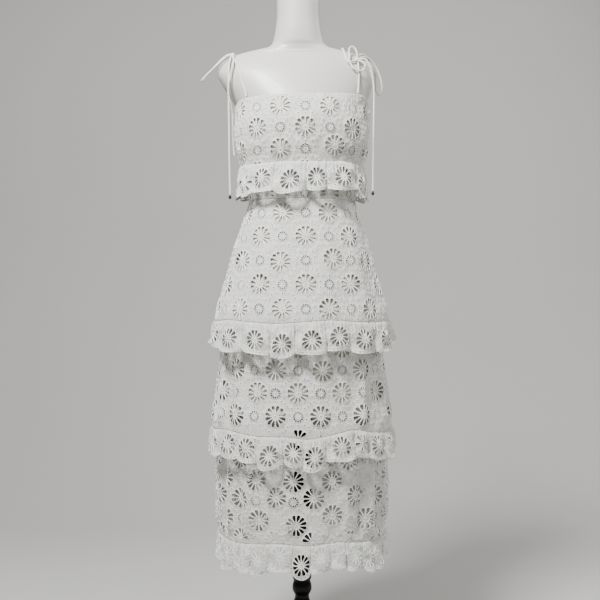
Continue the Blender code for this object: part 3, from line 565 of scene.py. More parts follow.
class Motifs:
    """The outlines of the cut flowers and eyelets, laid out flat in metres."""

    PETALS = 12
    SPOKE = 0.1 * MM
    BLUNTNESS = 0.7
    PETAL_INNER = 7.0 * MM
    PETAL_OUTER = 23.6 * MM
    PETAL_STITCH = 0.8 * MM
    PETAL_POINTS = 12
    CENTRE_RADIUS = 1.6 * MM
    CENTRE_STITCH = 1.2 * MM
    CENTRE_POINTS = 8
    DOT_INNER = 6.0 * MM
    DOT_OUTER = 12.0 * MM
    DOT_STITCH = 0.45 * MM
    DOT_POINTS = 6
    PINHOLE_RADIUS = 0.9 * MM
    PINHOLE_STITCH = 0.9 * MM
    EYELET_RADIUS = 1.75 * MM
    EYELET_STITCH = 1.25 * MM
    STITCH_HEIGHT = 0.95 * MM
    FINE_HEIGHT = 0.7 * MM

    @classmethod
    def drop(cls, inner: float, outer: float, stitch: float, count: int) -> np.ndarray:
        """A petal's outline along +X, as wide as its neighbours and the spokes leave room for.

        Args:
            inner: distance of its inner tip from the flower's middle.
            outer: distance of its outer end.
            stitch: width of the stitching round it.
            count: points round it.

        Returns:
            The outline, counter-clockwise.
        """
        angle = even_angles(count, 0.5)
        along = (inner + outer) / 2 + (outer - inner) / 2 * np.cos(angle)
        half = along * math.tan(math.pi / cls.PETALS) - stitch - cls.SPOKE
        return np.stack([along, half * blunted(np.sin(angle), cls.BLUNTNESS)], axis=1)

    @classmethod
    def wheel(cls, u: float, v: float, outline: np.ndarray, turn: float, width: float,
              height: float) -> list[Ring]:
        """Twelve like holes round a middle.

        Args:
            u: the middle across.
            v: the middle up.
            outline: one hole, along +X.
            turn: the first one's angle.
            width: the stitching's width.
            height: the stitching's height.

        Returns:
            The holes.
        """
        rings = []
        for i in range(cls.PETALS):
            angle = turn + 2 * math.pi * i / cls.PETALS
            spin = np.array([[math.cos(angle), math.sin(angle)],
                             [-math.sin(angle), math.cos(angle)]])
            rings.append(Ring(outline @ spin + (u, v), width, height))
        return rings

    @classmethod
    def round_hole(cls, u: float, v: float, radius: float, width: float, height: float,
                   count: int = 6) -> Ring:
        """A small round hole.

        Args:
            u: its middle across.
            v: its middle up.
            radius: the hole's radius.
            width: the stitching's width.
            height: the stitching's height.
            count: points round it.

        Returns:
            The hole.
        """
        angle = even_angles(count, 0.5)
        edge = np.stack([u + radius * np.cos(angle), v + radius * np.sin(angle)], axis=1)
        return Ring(edge, width, height)

    @classmethod
    def large_flower(cls, u: float, v: float) -> list[Ring]:
        """A large flower: twelve petals round a small hole."""
        petal = cls.drop(cls.PETAL_INNER, cls.PETAL_OUTER, cls.PETAL_STITCH, cls.PETAL_POINTS)
        rings = cls.wheel(u, v, petal, math.pi / cls.PETALS, cls.PETAL_STITCH, cls.STITCH_HEIGHT)
        return rings + [cls.round_hole(u, v, cls.CENTRE_RADIUS, cls.CENTRE_STITCH,
                                       cls.STITCH_HEIGHT, cls.CENTRE_POINTS)]

    @classmethod
    def small_flower(cls, u: float, v: float) -> list[Ring]:
        """A small flower: twelve dots round a pinhole."""
        dot = cls.drop(cls.DOT_INNER, cls.DOT_OUTER, cls.DOT_STITCH, cls.DOT_POINTS)
        rings = cls.wheel(u, v, dot, 0.0, cls.DOT_STITCH, cls.FINE_HEIGHT)
        return rings + [cls.round_hole(u, v, cls.PINHOLE_RADIUS, cls.PINHOLE_STITCH,
                                       cls.FINE_HEIGHT)]

    @classmethod
    def eyelet(cls, u: float, v: float) -> list[Ring]:
        """A round eyelet of the ground."""
        return [cls.round_hole(u, v, cls.EYELET_RADIUS, cls.EYELET_STITCH, cls.FINE_HEIGHT)]


def grown(edge: np.ndarray, by: float) -> np.ndarray:
    """Move a convex outline out by a distance.

    Args:
        edge: the outline, counter-clockwise.
        by: how far.

    Returns:
        The new outline, with as many points.
    """
    along = np.roll(edge, -1, axis=0) - np.roll(edge, 1, axis=0)
    along /= np.linalg.norm(along, axis=1, keepdims=True)
    return edge + by * np.stack([along[:, 1], -along[:, 0]], axis=1)


@dataclass
class FlatLace:
    """A flat piece of lace, cut and stitched, ready to be laid on the dress.

    Attributes:
        border: the cut edge, counter-clockwise.
        rings: the holes.
        inner: loose points that let the cloth bend.
        hem: how many of the border's first points are a stitched hem.
        MERGE: points nearer than this are one.
        CLEAR: least distance between two holes' stitching.
        EDGE_RISE: height of the stitching at the hole's edge, as a share of its full height.
        CREST: where across its width the stitching is highest, as a share.
        HEM_BAND: how far up from the edge a stitched hem reaches.
        OFF_HOLE: least distance of a loose point from a hole's stitching.
        OFF_BORDER: least distance of a loose point from the border.
    """

    border: np.ndarray
    rings: list[Ring]
    inner: np.ndarray
    hem: int = 0
    MERGE = 1e-7
    CLEAR = 0.1 * MM
    EDGE_RISE = 0.35
    CREST = 0.45
    HEM_BAND = 2.4 * MM
    OFF_HOLE = 0.8 * MM
    OFF_BORDER = 1.0 * MM

    def __post_init__(self) -> None:
        """Leave out the holes whose stitching meets the border or an earlier hole's."""
        kept: list[Ring] = []
        outlines: list[np.ndarray] = []
        middles = np.zeros((len(self.rings), 3))
        for ring in self.rings:
            outer = grown(ring.edge, ring.width)
            middle = outer.mean(axis=0)
            reach = float(np.linalg.norm(outer - middle, axis=1).max())
            if not inside(outer, self.border).all() or border_gap(outer, self.border) < self.CLEAR:
                continue
            known = middles[:len(kept)]
            apart = np.linalg.norm(known[:, :2] - middle, axis=1) - known[:, 2] - reach
            if any(outlines_meet(outer, outlines[k], self.CLEAR)
                   for k in np.where(apart < self.CLEAR)[0]):
                continue
            middles[len(kept)] = (*middle, reach)
            kept.append(ring)
            outlines.append(outer)
        self.rings = kept

    def cut(self, stitched: bool) -> tuple[np.ndarray, np.ndarray, np.ndarray, np.ndarray]:
        """Triangulate one skin.

        Args:
            stitched: whether the skin carries the raised stitching.

        Returns:
            Points, triangles, each point's height and each triangle's material.  Both skins
            start with the border's points and the holes' edges.
        """
        loops = [self.border] + [ring.edge for ring in self.rings]
        heights = [np.zeros(len(self.border))]
        heights += [np.full(len(ring.edge), self.EDGE_RISE * ring.height) for ring in self.rings]
        owners = [np.full(len(loop), k - 1) for k, loop in enumerate(loops)]
        shared = sum(len(loop) for loop in loops)
        for k, ring in enumerate(self.rings if stitched else ()):
            for by, high in ((self.CREST, ring.height), (1.0, 0.0)):
                loops.append(grown(ring.edge, ring.width * by))
                heights.append(np.full(len(ring.edge), high))
                owners.append(np.full(len(ring.edge), k))
        edges = []
        start = 0
        for loop in loops:
            edges += [(start + i, start + (i + 1) % len(loop)) for i in range(len(loop))]
            start += len(loop)
        loose = self._loose_points()
        flat = np.concatenate(loops + [loose])
        heights.append(np.zeros(len(loose)))
        owners.append(np.full(len(loose), -2))
        banded = np.zeros(len(flat), bool)
        if self.hem:
            banded[:self.hem] = True
            banded[start:] = outline_gaps(loose, self.border[:self.hem]) < self.HEM_BAND
        owner = np.concatenate(owners)
        found = delaunay_2d_cdt([Vector(p) for p in flat.tolist()], edges,
                                [list(range(len(self.border)))], 1, self.MERGE)
        source = np.full(len(found[0]), -1)
        for i, origins in enumerate(found[3]):
            if origins:
                source[i] = origins[0]
        if (source < 0).any() or len(source) != len(flat):
            raise ValueError("stitching outlines cross each other")
        triangles = source[np.array(found[2], int)]
        own = owner[triangles]
        same = (own[:, 0] == own[:, 1]) & (own[:, 1] == own[:, 2]) & (own[:, 0] >= 0)
        hole = same & (triangles < shared).all(axis=1)
        same |= banded[triangles].all(axis=1)
        slots = np.where(same, Layer.SATIN.value, Layer.GROUND.value)
        return flat, triangles[~hole], np.concatenate(heights), slots[~hole]

    def _loose_points(self) -> np.ndarray:
        """The inner points that lie clear of the holes and of the border."""
        points = self.inner[inside(self.inner, self.border)]
        keep = np.ones(len(points), bool)
        for ring in self.rings:
            middle = ring.edge.mean(axis=0)
            reach = np.abs(ring.edge - middle).max() + ring.width + 1.5 * self.OFF_HOLE
            near = np.where(np.abs(points - middle).max(axis=1) < reach)[0]
            if len(near):
                outer = grown(ring.edge, ring.width + self.OFF_HOLE)
                keep[near[inside(points[near], outer)]] = False
        points = points[keep]
        return points[outline_gaps(points, self.border) > self.OFF_BORDER]


def inside(points: np.ndarray, outline: np.ndarray) -> np.ndarray:
    """Which points lie in an outline.

    Args:
        points: the points.
        outline: any simple outline.

    Returns:
        True for each point inside.
    """
    x, y = points[:, 0][:, None], points[:, 1][:, None]
    x0, y0 = outline[:, 0], outline[:, 1]
    x1, y1 = np.roll(x0, -1), np.roll(y0, -1)
    spans = (y0 > y) != (y1 > y)
    with np.errstate(divide="ignore", invalid="ignore"):
        cross = x0 + (y - y0) * (x1 - x0) / (y1 - y0)
    return (spans & (x < cross)).sum(axis=1) % 2 == 1


def outline_gaps(points: np.ndarray, outline: np.ndarray) -> np.ndarray:
    """Least distance from each point to an outline."""
    along = np.roll(outline, -1, axis=0) - outline
    length = np.maximum((along**2).sum(axis=1), 1e-18)
    delta = points[:, None, :] - outline
    t = np.clip((delta * along).sum(axis=2) / length, 0, 1)
    return np.linalg.norm(delta - t[:, :, None] * along, axis=2).min(axis=1)


def border_gap(points: np.ndarray, outline: np.ndarray) -> float:
    """Least distance from any of the points to an outline."""
    return float(outline_gaps(points, outline).min())


def outlines_meet(first: np.ndarray, second: np.ndarray, clear: float) -> bool:
    """Whether two outlines overlap or come within a distance of each other."""
    return bool(border_gap(first, second) < clear or border_gap(second, first) < clear
                or inside(first, second).any() or inside(second, first).any())


Laying = Callable[[np.ndarray, np.ndarray], np.ndarray]
Edge = Callable[[np.ndarray], np.ndarray]


def lace_mesh(name: str, flat: FlatLace, lay: Laying, thickness: float,
              hem_height: float = 0.0) -> bpy.types.Object:
    """Lay a flat lace piece on the dress and close it round its edges.

    Args:
        name: the piece's name.
        flat: the flat lace.
        lay: gives the place of flat points at a height above the cloth's middle.
        thickness: of the ground cloth.
        hem_height: how far a stitched hem stands up.

    Returns:
        The lace object.
    """
    top, faces, height, slots = flat.cut(True)
    low, low_faces = flat.cut(False)[:2]
    if hem_height:
        height[:flat.hem] = hem_height
    outer = lay(top, thickness / 2 + height)
    inner = lay(low, np.full(len(low), -thickness / 2))
    count = len(outer)
    loops = [len(flat.border)] + [len(ring.edge) for ring in flat.rings]
    rims, start = [], 0
    for k, size in enumerate(loops):
        i = start + np.arange(size)
        j = start + (np.arange(size) + 1) % size
        quad = np.stack([j, i, count + i, count + j], axis=1)
        rims.append(quad[:, ::-1] if k else quad)
        start += size
    rims = np.concatenate(rims)
    rim_slots = np.where(np.arange(len(rims)) < loops[0], Layer.GROUND.value, Layer.SATIN.value)
    obj = mesh_piece(name, np.concatenate([outer, inner]),
                     np.concatenate([faces, low_faces[:, ::-1] + count,
                                     rims[:, [0, 1, 2]], rims[:, [0, 2, 3]]]),
                     (GROUND_COTTON, SATIN_THREAD),
                     np.concatenate([slots, np.full(len(low_faces), Layer.GROUND.value),
                                     rim_slots, rim_slots]))
    face_out(obj)
    return obj


def face_out(obj: bpy.types.Object) -> None:
    """Turn a closed mesh's faces outwards."""
    work = bmesh.new()
    work.from_mesh(obj.data)
    bmesh.ops.recalc_face_normals(work, faces=work.faces)
    work.to_mesh(obj.data)
    work.free()


def spread(low: float, high: float, step: float) -> np.ndarray:
    """Even places from low to high, about a step apart, both ends included."""
    return np.linspace(low, high, max(2, int(round((high - low) / step)) + 1))


class Repeat(NamedTuple):
    """How a panel's flowers repeat.

    It has a large flower's middle, which the repeat is laid from, the distance from large
    flower to large flower along a row, the distance from one row to the next, and the
    flowers whose places are known: the nearest of the repeat moves there.
    """

    origin: Flower
    pitch: float
    row: float
    fixed: tuple[Flower, ...] = ()


@dataclass
class LacePanel:
    """One panel of allover lace, from a top edge to a bottom edge.

    Attributes:
        node: the solid it stands for.
        side: front or back.
        top: height of its top edge at a distance u.
        bottom: height of its bottom edge.
        repeat: how its flowers repeat.
        creases: the panel's soft folds.
        stitched: rows of stitches, as name, edge and how far up from the edge.
        rests_on: what it lies on; not used.
        held: how the cloth is held; not used.
    """

    node: str
    side: Side
    top: Edge
    bottom: Edge
    repeat: Repeat
    creases: tuple[Crease, ...]
    stitched: tuple[tuple[str, Edge, float], ...]
    rests_on: tuple[str, ...]
    held: str = "hung"
    THICKNESS = 0.9 * MM
    STEP = 7.5 * MM
    EDGE_STEP = 5.0 * MM
    STAGGER = 0.31
    # Rows of points along the top and bottom edges, where the puckers need them close.
    BANDS = (3.0 * MM, 7.0 * MM, 12.0 * MM)
    BAND_STEP = 3.2 * MM
    BAND_DEPTH = 15 * MM
    CREASE_HEAD = 0.45
    CREASE_FOOT = 0.16
    PUCKER = 0.6 * MM
    PUCKER_FADE = 9.0 * MM
    PUCKER_PITCH = 10.0 * MM
    PUCKER_WANDER = 2.2
    PUCKER_WANDER_LENGTH = 23 * MM
    RIPPLE = 0.35 * MM
    RIPPLES = (
        (7.1 * MM, 16 * MM, 0.0), (-19 * MM, 8.3 * MM, 0.0), (4.7 * MM, -9.7 * MM, 1.3))
    # The relief fades out towards the side seams and the edges, so that the panels meet.
    SIDE_FADE = 12 * MM
    EDGE_FADE = 5 * MM
    EDGE_KEPT = 0.35
    ROWS = range(-9, 10)
    COLUMNS = range(-5, 6)
    # Eyelets round each flower, as shares of the pitch across and of the row up.
    EYELETS = (
        (0.31, 0.11), (0.31, -0.12), (0.69, 0.12), (0.69, -0.11), (0.27, 0.44), (0.23, 0.57),
        (0.73, 0.43), (0.77, 0.58), (0.50, 0.36), (0.50, -0.37), (0.36, 0.36), (0.64, 0.36),
        (0.36, -0.36), (0.64, -0.36))
    LARGE_REACH = 25.2 * MM
    SMALL_REACH = 12.6 * MM
    EYELET_REACH = 3.1 * MM
    MOTIF_GAP = 0.6 * MM
    ROW_STEP = 2.0 * MM
    ROW_END = 2.0 * MM
    ROW_LIFT = 0.1 * MM

    def border(self) -> np.ndarray:
        """The panel's flat outline, counter-clockwise from its lower left corner."""
        low = float(self.bottom(np.array([0.0]))[0])
        right_low = float(TUBE.half_girth(low, self.side)) - SEAM_GAP / 2
        along = spread(-right_low, right_low, self.EDGE_STEP)
        bottom = np.stack([along, self.bottom(along)], axis=1)
        corner = float(self.top(np.array([1.0]))[0])
        heights = spread(low, corner, self.EDGE_STEP)[1:-1]
        seam = TUBE.half_girth(heights, self.side) - SEAM_GAP / 2
        right = np.stack([seam, heights], axis=1)
        top_edge = float(TUBE.half_girth(corner, self.side)) - SEAM_GAP / 2
        along = spread(-top_edge, top_edge, self.EDGE_STEP)[::-1]
        top = np.stack([along, self.top(along)], axis=1)
        left = right[::-1] * (-1, 1)
        return np.concatenate([bottom, right, top, left])

    def middles(self) -> tuple[list[Flower], list[Flower], list[Flower]]:
        """Places of the repeat's large flowers, small flowers and eyelets."""
        origin, pitch, row, fixed = self.repeat
        large, small, eyelets = [], [], []
        for j in self.ROWS:
            for i in self.COLUMNS:
                u = origin.u + (i + 0.5 * (j % 2)) * pitch
                z = origin.z + j * row
                near = [f for f in fixed if math.hypot(f.u - u, f.z - z) < 0.5 * row]
                large.append(near[0] if near else Flower(u, z))
                small.append(Flower(u + 0.5 * pitch, z))
                eyelets += [Flower(u + across * pitch, z + up * row)
                            for across, up in self.EYELETS]
        return large, small, eyelets

    def rings(self) -> list[Ring]:
        """All the holes of the panel, with no motif on another."""
        large, small, eyelets = self.middles()
        rings: list[Ring] = []
        taken: list[tuple[float, float, float]] = []
        for places, reach, cut in ((large, self.LARGE_REACH, Motifs.large_flower),
                                   (small, self.SMALL_REACH, Motifs.small_flower),
                                   (eyelets, self.EYELET_REACH, Motifs.eyelet)):
            for place in places:
                if any(math.hypot(place.u - u, place.z - z) < reach + other + self.MOTIF_GAP
                       for u, z, other in taken):
                    continue
                taken.append((place.u, place.z, reach))
                rings += cut(place.u, place.z)
        return rings

    def relief(self, u: np.ndarray, z: np.ndarray) -> np.ndarray:
        """How far the creases and the cloth's own unevenness stand out of the tube."""
        out = self.RIPPLE * ripples(self.RIPPLES, u, z)
        for crease in self.creases:
            middle = crease.u + crease.lean * (z - crease.bottom)
            across = np.exp(-((u - middle) / crease.half_width) ** 2)
            length = crease.top - crease.bottom
            along = (eased((z - crease.bottom) / (self.CREASE_FOOT * length))
                     * eased((crease.top - z) / (self.CREASE_HEAD * length)))
            out += crease.out * across * along
        below, above = z - self.bottom(u), self.top(u) - z
        wander = self.PUCKER_WANDER * np.sin(u / self.PUCKER_WANDER_LENGTH)
        for fall in (below, above):
            out += (self.PUCKER * np.exp(-fall / self.PUCKER_FADE)
                    * np.sin(2 * math.pi * u / self.PUCKER_PITCH + wander))
        to_seam = TUBE.half_girth(z, self.side) - np.abs(u)
        to_edge = np.minimum(below, above)
        return (out * np.clip(to_seam / self.SIDE_FADE, 0, 1)
                * eased(to_edge / self.EDGE_FADE + self.EDGE_KEPT))

    def lay(self, points: np.ndarray, height: np.ndarray) -> np.ndarray:
        """Lay flat points on the dress, each at its height above the cloth's middle."""
        place, normal = TUBE.read(points[:, 0], points[:, 1], self.side)
        return place + normal * (height + self.relief(points[:, 0], points[:, 1]))[:, None]

    def inner_points(self, low: np.ndarray, high: np.ndarray) -> np.ndarray:
        """Loose points: rows close along the top and bottom edges, and an even grid between."""
        grid = np.stack(np.meshgrid(spread(low[0], high[0], self.STEP),
                                    spread(low[1], high[1], self.STEP)), axis=2).reshape(-1, 2)
        grid[:, 0] += self.STAGGER * self.STEP * (np.arange(len(grid)) % 2)
        across = spread(low[0], high[0], self.BAND_STEP)
        bands = [np.stack([across, edge(across) + way * fall], axis=1)
                 for edge, way in ((self.bottom, 1), (self.top, -1)) for fall in self.BANDS]
        between = ((grid[:, 1] > self.bottom(grid[:, 0]) + self.BAND_DEPTH)
                   & (grid[:, 1] < self.top(grid[:, 0]) - self.BAND_DEPTH))
        return np.concatenate(bands + [grid[between]])

    def build(self) -> bpy.types.Object:
        border = self.border()
        low, high = border.min(axis=0), border.max(axis=0)
        rings = [r for r in self.rings()
                 if (r.edge.min(axis=0) > low).all() and (r.edge.max(axis=0) < high).all()]
        flat = FlatLace(border, rings, self.inner_points(low, high))
        obj = lace_mesh(f"lace_{self.node}", flat, self.lay, self.THICKNESS)
        settle(obj, "lace", self.node)
        for name, edge, inward in self.stitched:
            across = spread(low[0], high[0], self.ROW_STEP)
            row = np.stack([across, edge(across) + inward], axis=1)
            row = row[np.abs(across) < TUBE.half_girth(row[:, 1], self.side) - self.ROW_END]
            lift = np.full(len(row), self.THICKNESS / 2 + self.ROW_LIFT)
            StitchRow.build(f"stitches_{self.node}_{name}", self.lay(row, lift))
        width, length = float(high[0] - low[0]), float(high[1] - low[1])
        list(self.rests_on)
        flat_area(border)
        log.info("%s: %d holes, cut %.3f x %.3f m", obj.name, len(flat.rings), width, length)
        return obj


@dataclass(frozen=True)
class ViewPoint:
    """Where the picture is taken from, level and square to the dress's front.

    Attributes:
        distance: metres from the dress's middle to the camera.
        height: height of the camera, which is that of the picture's middle.
        shift: how far the camera stands to the side, along X.
        half_frame: half the picture's width and height at the dress's middle.
    """

    distance: float = 2.4
    height: float = 0.856
    shift: float = -0.0047
    half_frame: float = 0.705

    def add_camera(self) -> bpy.types.Object:
        """Put the camera in the scene and make it the one that renders.

        Returns:
            The camera object.
        """
        data = bpy.data.cameras.new("camera")
        data.angle = 2 * math.atan(self.half_frame / self.distance)
        camera = bpy.data.objects.new("camera", data)
        camera.location = Vector((self.shift, -self.distance, self.height))
        camera.rotation_euler = (math.pi / 2, 0.0, 0.0)
        bpy.context.scene.collection.objects.link(camera)
        bpy.context.scene.camera = camera
        return camera


@dataclass(frozen=True)
class Seam:
    """A seam round the dress that dips here and there.

    Attributes:
        z: its height where it is level.
        front: its dips at the front.
        back: its dips at the back.
    """

    z: float
    front: tuple[Dip, ...] = ()
    back: tuple[Dip, ...] = ()

    def height(self, u: np.ndarray, side: Side) -> np.ndarray:
        """The seam's height at distances u, level at the side seams."""
        z = np.full(np.shape(u), self.z)
        for dip in self.front if side is Side.FRONT else self.back:
            z = z - dip.down * np.exp(-((u - dip.u) / dip.half_width) ** 2)
        edge = TUBE.half_girth(self.z, side)
        return self.z + (z - self.z) * eased((edge - np.abs(u)) / (30 * MM))

    def edge(self, side: Side, up: float) -> Edge:
        """A panel's edge along the seam, moved up by a little."""
        return lambda u: self.height(u, side) + up


WAIST_SEAM = Seam(WAIST_Z)
BUST_SEAM = Seam(BUST_SEAM_Z,
                 (Dip(-0.110, 0.040, 0.002), Dip(0.010, 0.035, -0.001), Dip(0.100, 0.040, -0.003)),
                 (Dip(-0.090, 0.040, 0.002), Dip(0.070, 0.050, -0.002)))
UPPER_SEAM = Seam(UPPER_SEAM_Z,
                  (Dip(-0.180, 0.040, -0.003), Dip(-0.060, 0.050, 0.004), Dip(0.060, 0.040, -0.003),
                   Dip(0.160, 0.045, 0.002)),
                  (Dip(-0.140, 0.050, 0.003), Dip(0.020, 0.045, -0.003), Dip(0.150, 0.050, 0.003)))
MIDDLE_SEAM = Seam(MIDDLE_SEAM_Z,
                   (Dip(-0.190, 0.040, -0.005), Dip(-0.080, 0.050, 0.004), Dip(0.012, 0.040, 0.008),
                    Dip(0.115, 0.038, -0.009), Dip(0.215, 0.035, 0.003)),
                   (Dip(-0.150, 0.050, -0.004), Dip(-0.010, 0.050, 0.005), Dip(0.140, 0.050, -0.004)))
HEM_SEAM = Seam(HEM_SEAM_Z,
                (Dip(-0.160, 0.040, 0.003), Dip(-0.050, 0.040, -0.004), Dip(0.080, 0.045, -0.006),
                 Dip(0.190, 0.040, 0.003)),
                (Dip(-0.120, 0.050, 0.004), Dip(0.060, 0.050, -0.004)))


def flat_area(outline: np.ndarray) -> float:
    """Area inside a flat outline."""
    x, y = outline[:, 0], outline[:, 1]
    return float(abs(np.dot(x, np.roll(y, -1)) - np.dot(y, np.roll(x, -1))) / 2)


@dataclass
class Ruffle:
    """A gathered strip sewn on along its top edge.

    Attributes:
        name: name of its two solids, without the side.
        seam: the seam that it hangs from.
        drops: its length below the seam at the front, the side seams and the back.
        ridge: how far its flutes stand out at the front and back.
        side_ridge: how far they stand out at the side seams.
        trough: how far its troughs stand out.
        folds: its troughs on each side.
        rests_on: what it lies on, on each side; not used.
    """

    name: str
    seam: Seam
    drops: tuple[float, float, float]
    ridge: float
    side_ridge: float
    trough: float
    folds: dict[Side, tuple[Fold, ...]]
    rests_on: dict[Side, tuple[str, ...]]
    SWELL = 0.75
    ROUNDNESS = 0.8
    SIDE_POWER = 3.0
    SCALLOP = 10.0 * MM
    LIFT = 2.0 * MM
    TOP_LIFT = 0.15 * MM
    BULGE = 0.085
    THICKNESS = 0.9 * MM
    MEASURE_AT = 0.7
    FLOWER_UP = 33.0 * MM
    SCALLOP_POWER = 1.5
    HEM_HEIGHT = 0.6 * MM
    HEM_BAND = 1.9 * MM
    LEAN = 2.4
    CRUMPLE = 1.7 * MM
    GATHER = 2.6 * MM
    GATHER_PITCH = 8.5 * MM
    GATHER_FADE = 26.0 * MM
    SECOND_GATHER = 2.3
    CRUMPLES = (
        (8.9 * MM, 11 * MM, 0.0), (14.7 * MM, -7.7 * MM, 2.0))
    CRUMPLE_FROM = 30 * MM
    STEP = 6.0 * MM
    EDGE_STEP = 3.0 * MM
    TOP_STEP = 2.0 * MM
    # Rows of points that the gathers need, by their distance down from the seam.
    GATHER_ROWS = (2 * MM, 5 * MM, 9 * MM, 14 * MM, 20 * MM, 27 * MM)
    GRID_FROM = 34 * MM
    HEM_CLEAR = 3 * MM
    FLOWER_ROOM = 54 * MM
    # Rows of eyelets, by their distance up from the hem and from one to the next.
    EYELET_ROWS = (
        (5.6 * MM, 8.0 * MM), (12.1 * MM, 16.0 * MM), (24 * MM, 13.0 * MM),
        (41 * MM, 13.0 * MM), (52 * MM, 11.0 * MM))
    EYELET_BELOW = 6 * MM
    SLOPE_ACROSS = 0.5 * MM
    SLOPE_DOWN = 0.02

    def shape(self, u: np.ndarray, t: np.ndarray, side: Side) -> tuple[np.ndarray, np.ndarray]:
        """Places on the strip and the level direction out of it.

        Args:
            u: distances round the seam.
            t: shares of the way down, 0 to 1.
            side: front or back.

        Returns:
            Points of the strip's middle, and outward directions.
        """
        edge = float(TUBE.half_girth(self.seam.z, side))
        folds = self.folds[side]
        places = np.array([f.u for f in folds])
        bounds = np.concatenate([[-edge], places, [edge]])
        i = np.searchsorted(places, u, side="right")
        last = len(places)
        wide = bounds[i + 1] - bounds[i]
        across = np.clip((u - bounds[i]) / wide, 0, 1)
        across = np.where(i == 0, 0.5 + 0.5 * across, np.where(i == last, 0.5 * across, across))
        wide = wide * np.where((i == 0) | (i == last), 2, 1)
        fulls = np.array([1.0] + [f.fullness for f in folds[:-1]] + [1.0])
        leans = np.array([0.0] + [f.lean for f in folds[:-1]] + [0.0])
        longer = np.array([0.0] + [f.longer for f in folds[:-1]] + [0.0])
        rise = np.maximum(np.sin(math.pi * across), 0.0)
        full = fulls[i] * rise ** self.ROUNDNESS
        share = np.abs(u) / edge
        sideways = share ** self.SIDE_POWER
        middle = self.drops[0] if side is Side.FRONT else self.drops[2]
        drop = middle + (self.drops[1] - middle) * sideways + longer[i] * rise
        ridge = self.ridge + (self.side_ridge - self.ridge) * sideways
        swell = t ** self.SWELL
        aside = swell * (self.LEAN * leans[i] * rise
                         - self.BULGE * fulls[i] * wide * np.sin(2 * math.pi * across))
        kept = np.clip(u + aside, -edge + SEAM_GAP / 2, edge - SEAM_GAP / 2)
        base, normal = TUBE.read(kept, np.full(len(u), self.seam.z), side)
        base[:, 2] = self.seam.height(u, side)
        out = normal * (1, 1, 0)
        out /= np.linalg.norm(out, axis=1, keepdims=True)
        lift = self.TOP_LIFT + (self.LIFT - self.TOP_LIFT) * eased(t * drop / (5 * MM))
        reach = lift + swell * (self.trough + (ridge - self.trough) * full)
        down = t * (drop - self.SCALLOP * np.abs(2 * across - 1) ** self.SCALLOP_POWER)
        return base + out * reach[:, None] - down[:, None] * (0, 0, 1), out

    def unrolled(self, side: Side) -> tuple[np.ndarray, np.ndarray, np.ndarray]:
        """The strip laid out flat.

        Returns:
            Distances round the seam, the cloth's length up to each of them, and the
            strip's width there.
        """
        edge = float(TUBE.half_girth(self.seam.z, side))
        u = np.linspace(-edge, edge, 4801)
        points, _ = self.shape(u, np.full(len(u), self.MEASURE_AT), side)
        along = run_along(points)
        top, _ = self.shape(u, np.zeros(len(u)), side)
        low, _ = self.shape(u, np.ones(len(u)), side)
        return u, along, np.linalg.norm(low - top, axis=1)

    def rings(self, side: Side, u: np.ndarray, along: np.ndarray,
              deep: np.ndarray) -> list[Ring]:
        """The strip's flowers and eyelets, in flat places, as length along and down.

        Args:
            side: front or back.
            u: distances round the seam.
            along: the cloth's length up to each of them.
            deep: the strip's width there.

        Returns:
            The holes.
        """
        troughs = np.interp([f.u for f in self.folds[side]], u, along)
        rings: list[Ring] = []
        for start, end in zip(troughs, troughs[1:]):
            middle, wide = (start + end) / 2, end - start
            low = float(np.interp(middle, along, deep))
            scale = min(1.0, wide / self.FLOWER_ROOM)
            rings += self.flower(middle, self.FLOWER_UP - low, scale)
            for up, pitch in self.EYELET_ROWS:
                count = max(2, int(round(wide / pitch)))
                for k in range(count):
                    across = start + (k + 0.5) * wide / count
                    down = float(np.interp(across, along, deep)) - up
                    if down > self.EYELET_BELOW:
                        rings += Motifs.eyelet(across, -down)
        return rings

    @staticmethod
    def flower(across: float, up: float, scale: float) -> list[Ring]:
        """A large flower, a little narrowed where its flute is narrow."""
        return [Ring((ring.edge - (across, up)) * scale + (across, up), ring.width, ring.height)
                for ring in Motifs.large_flower(across, up)]

    def crumpled(self, c: np.ndarray, fall: np.ndarray) -> tuple[np.ndarray, np.ndarray]:
        """The uneven gathers under the seam, and the soft crumples below them.

        Args:
            c: lengths along the strip.
            fall: distances down from the seam.

        Returns:
            How far the cloth stands out, and how far it is lifted.
        """
        fade = np.exp(-fall / self.GATHER_FADE) * np.clip(fall / (3 * MM), 0.5, 1)
        wander = 2.4 * np.sin(c / (31 * MM)) + 1.5 * np.sin(c / (12.3 * MM) + 1.0)
        uneven = 0.65 + 0.35 * np.sin(c / (17 * MM)) * np.sin(c / (43 * MM) + 0.6)
        turns = 2 * math.pi * c / self.GATHER_PITCH
        out = self.GATHER * fade * (uneven * np.sin(turns + wander)
                                    + 0.5 * np.sin(turns / self.SECOND_GATHER - wander))
        loose = self.CRUMPLE * eased(fall / self.CRUMPLE_FROM)
        out += loose * ripples(self.CRUMPLES, c, fall)
        return out, loose * np.sin(c / (12.1 * MM) + 0.7)

    def border(self, along: np.ndarray, deep: np.ndarray) -> tuple[np.ndarray, int]:
        """The strip's flat outline, counter-clockwise from its lower left corner.

        Args:
            along: lengths along the strip.
            deep: the strip's width at each of them.

        Returns:
            The outline, and how many of its first points are the hem.
        """
        total = float(along[-1])
        across = spread(0.0, total, self.EDGE_STEP)
        hem = np.stack([across, -np.interp(across, along, deep)], axis=1)
        down = spread(0.0, float(deep[-1]), self.EDGE_STEP)[1:-1]
        right = np.stack([np.full(len(down), total), -down[::-1]], axis=1)
        top_across = spread(0.0, total, self.TOP_STEP)[::-1]
        top = np.stack([top_across, np.zeros(len(top_across))], axis=1)
        left = np.stack([np.zeros(len(down)), -down], axis=1)
        return np.concatenate([hem, right, top, left]), len(hem)

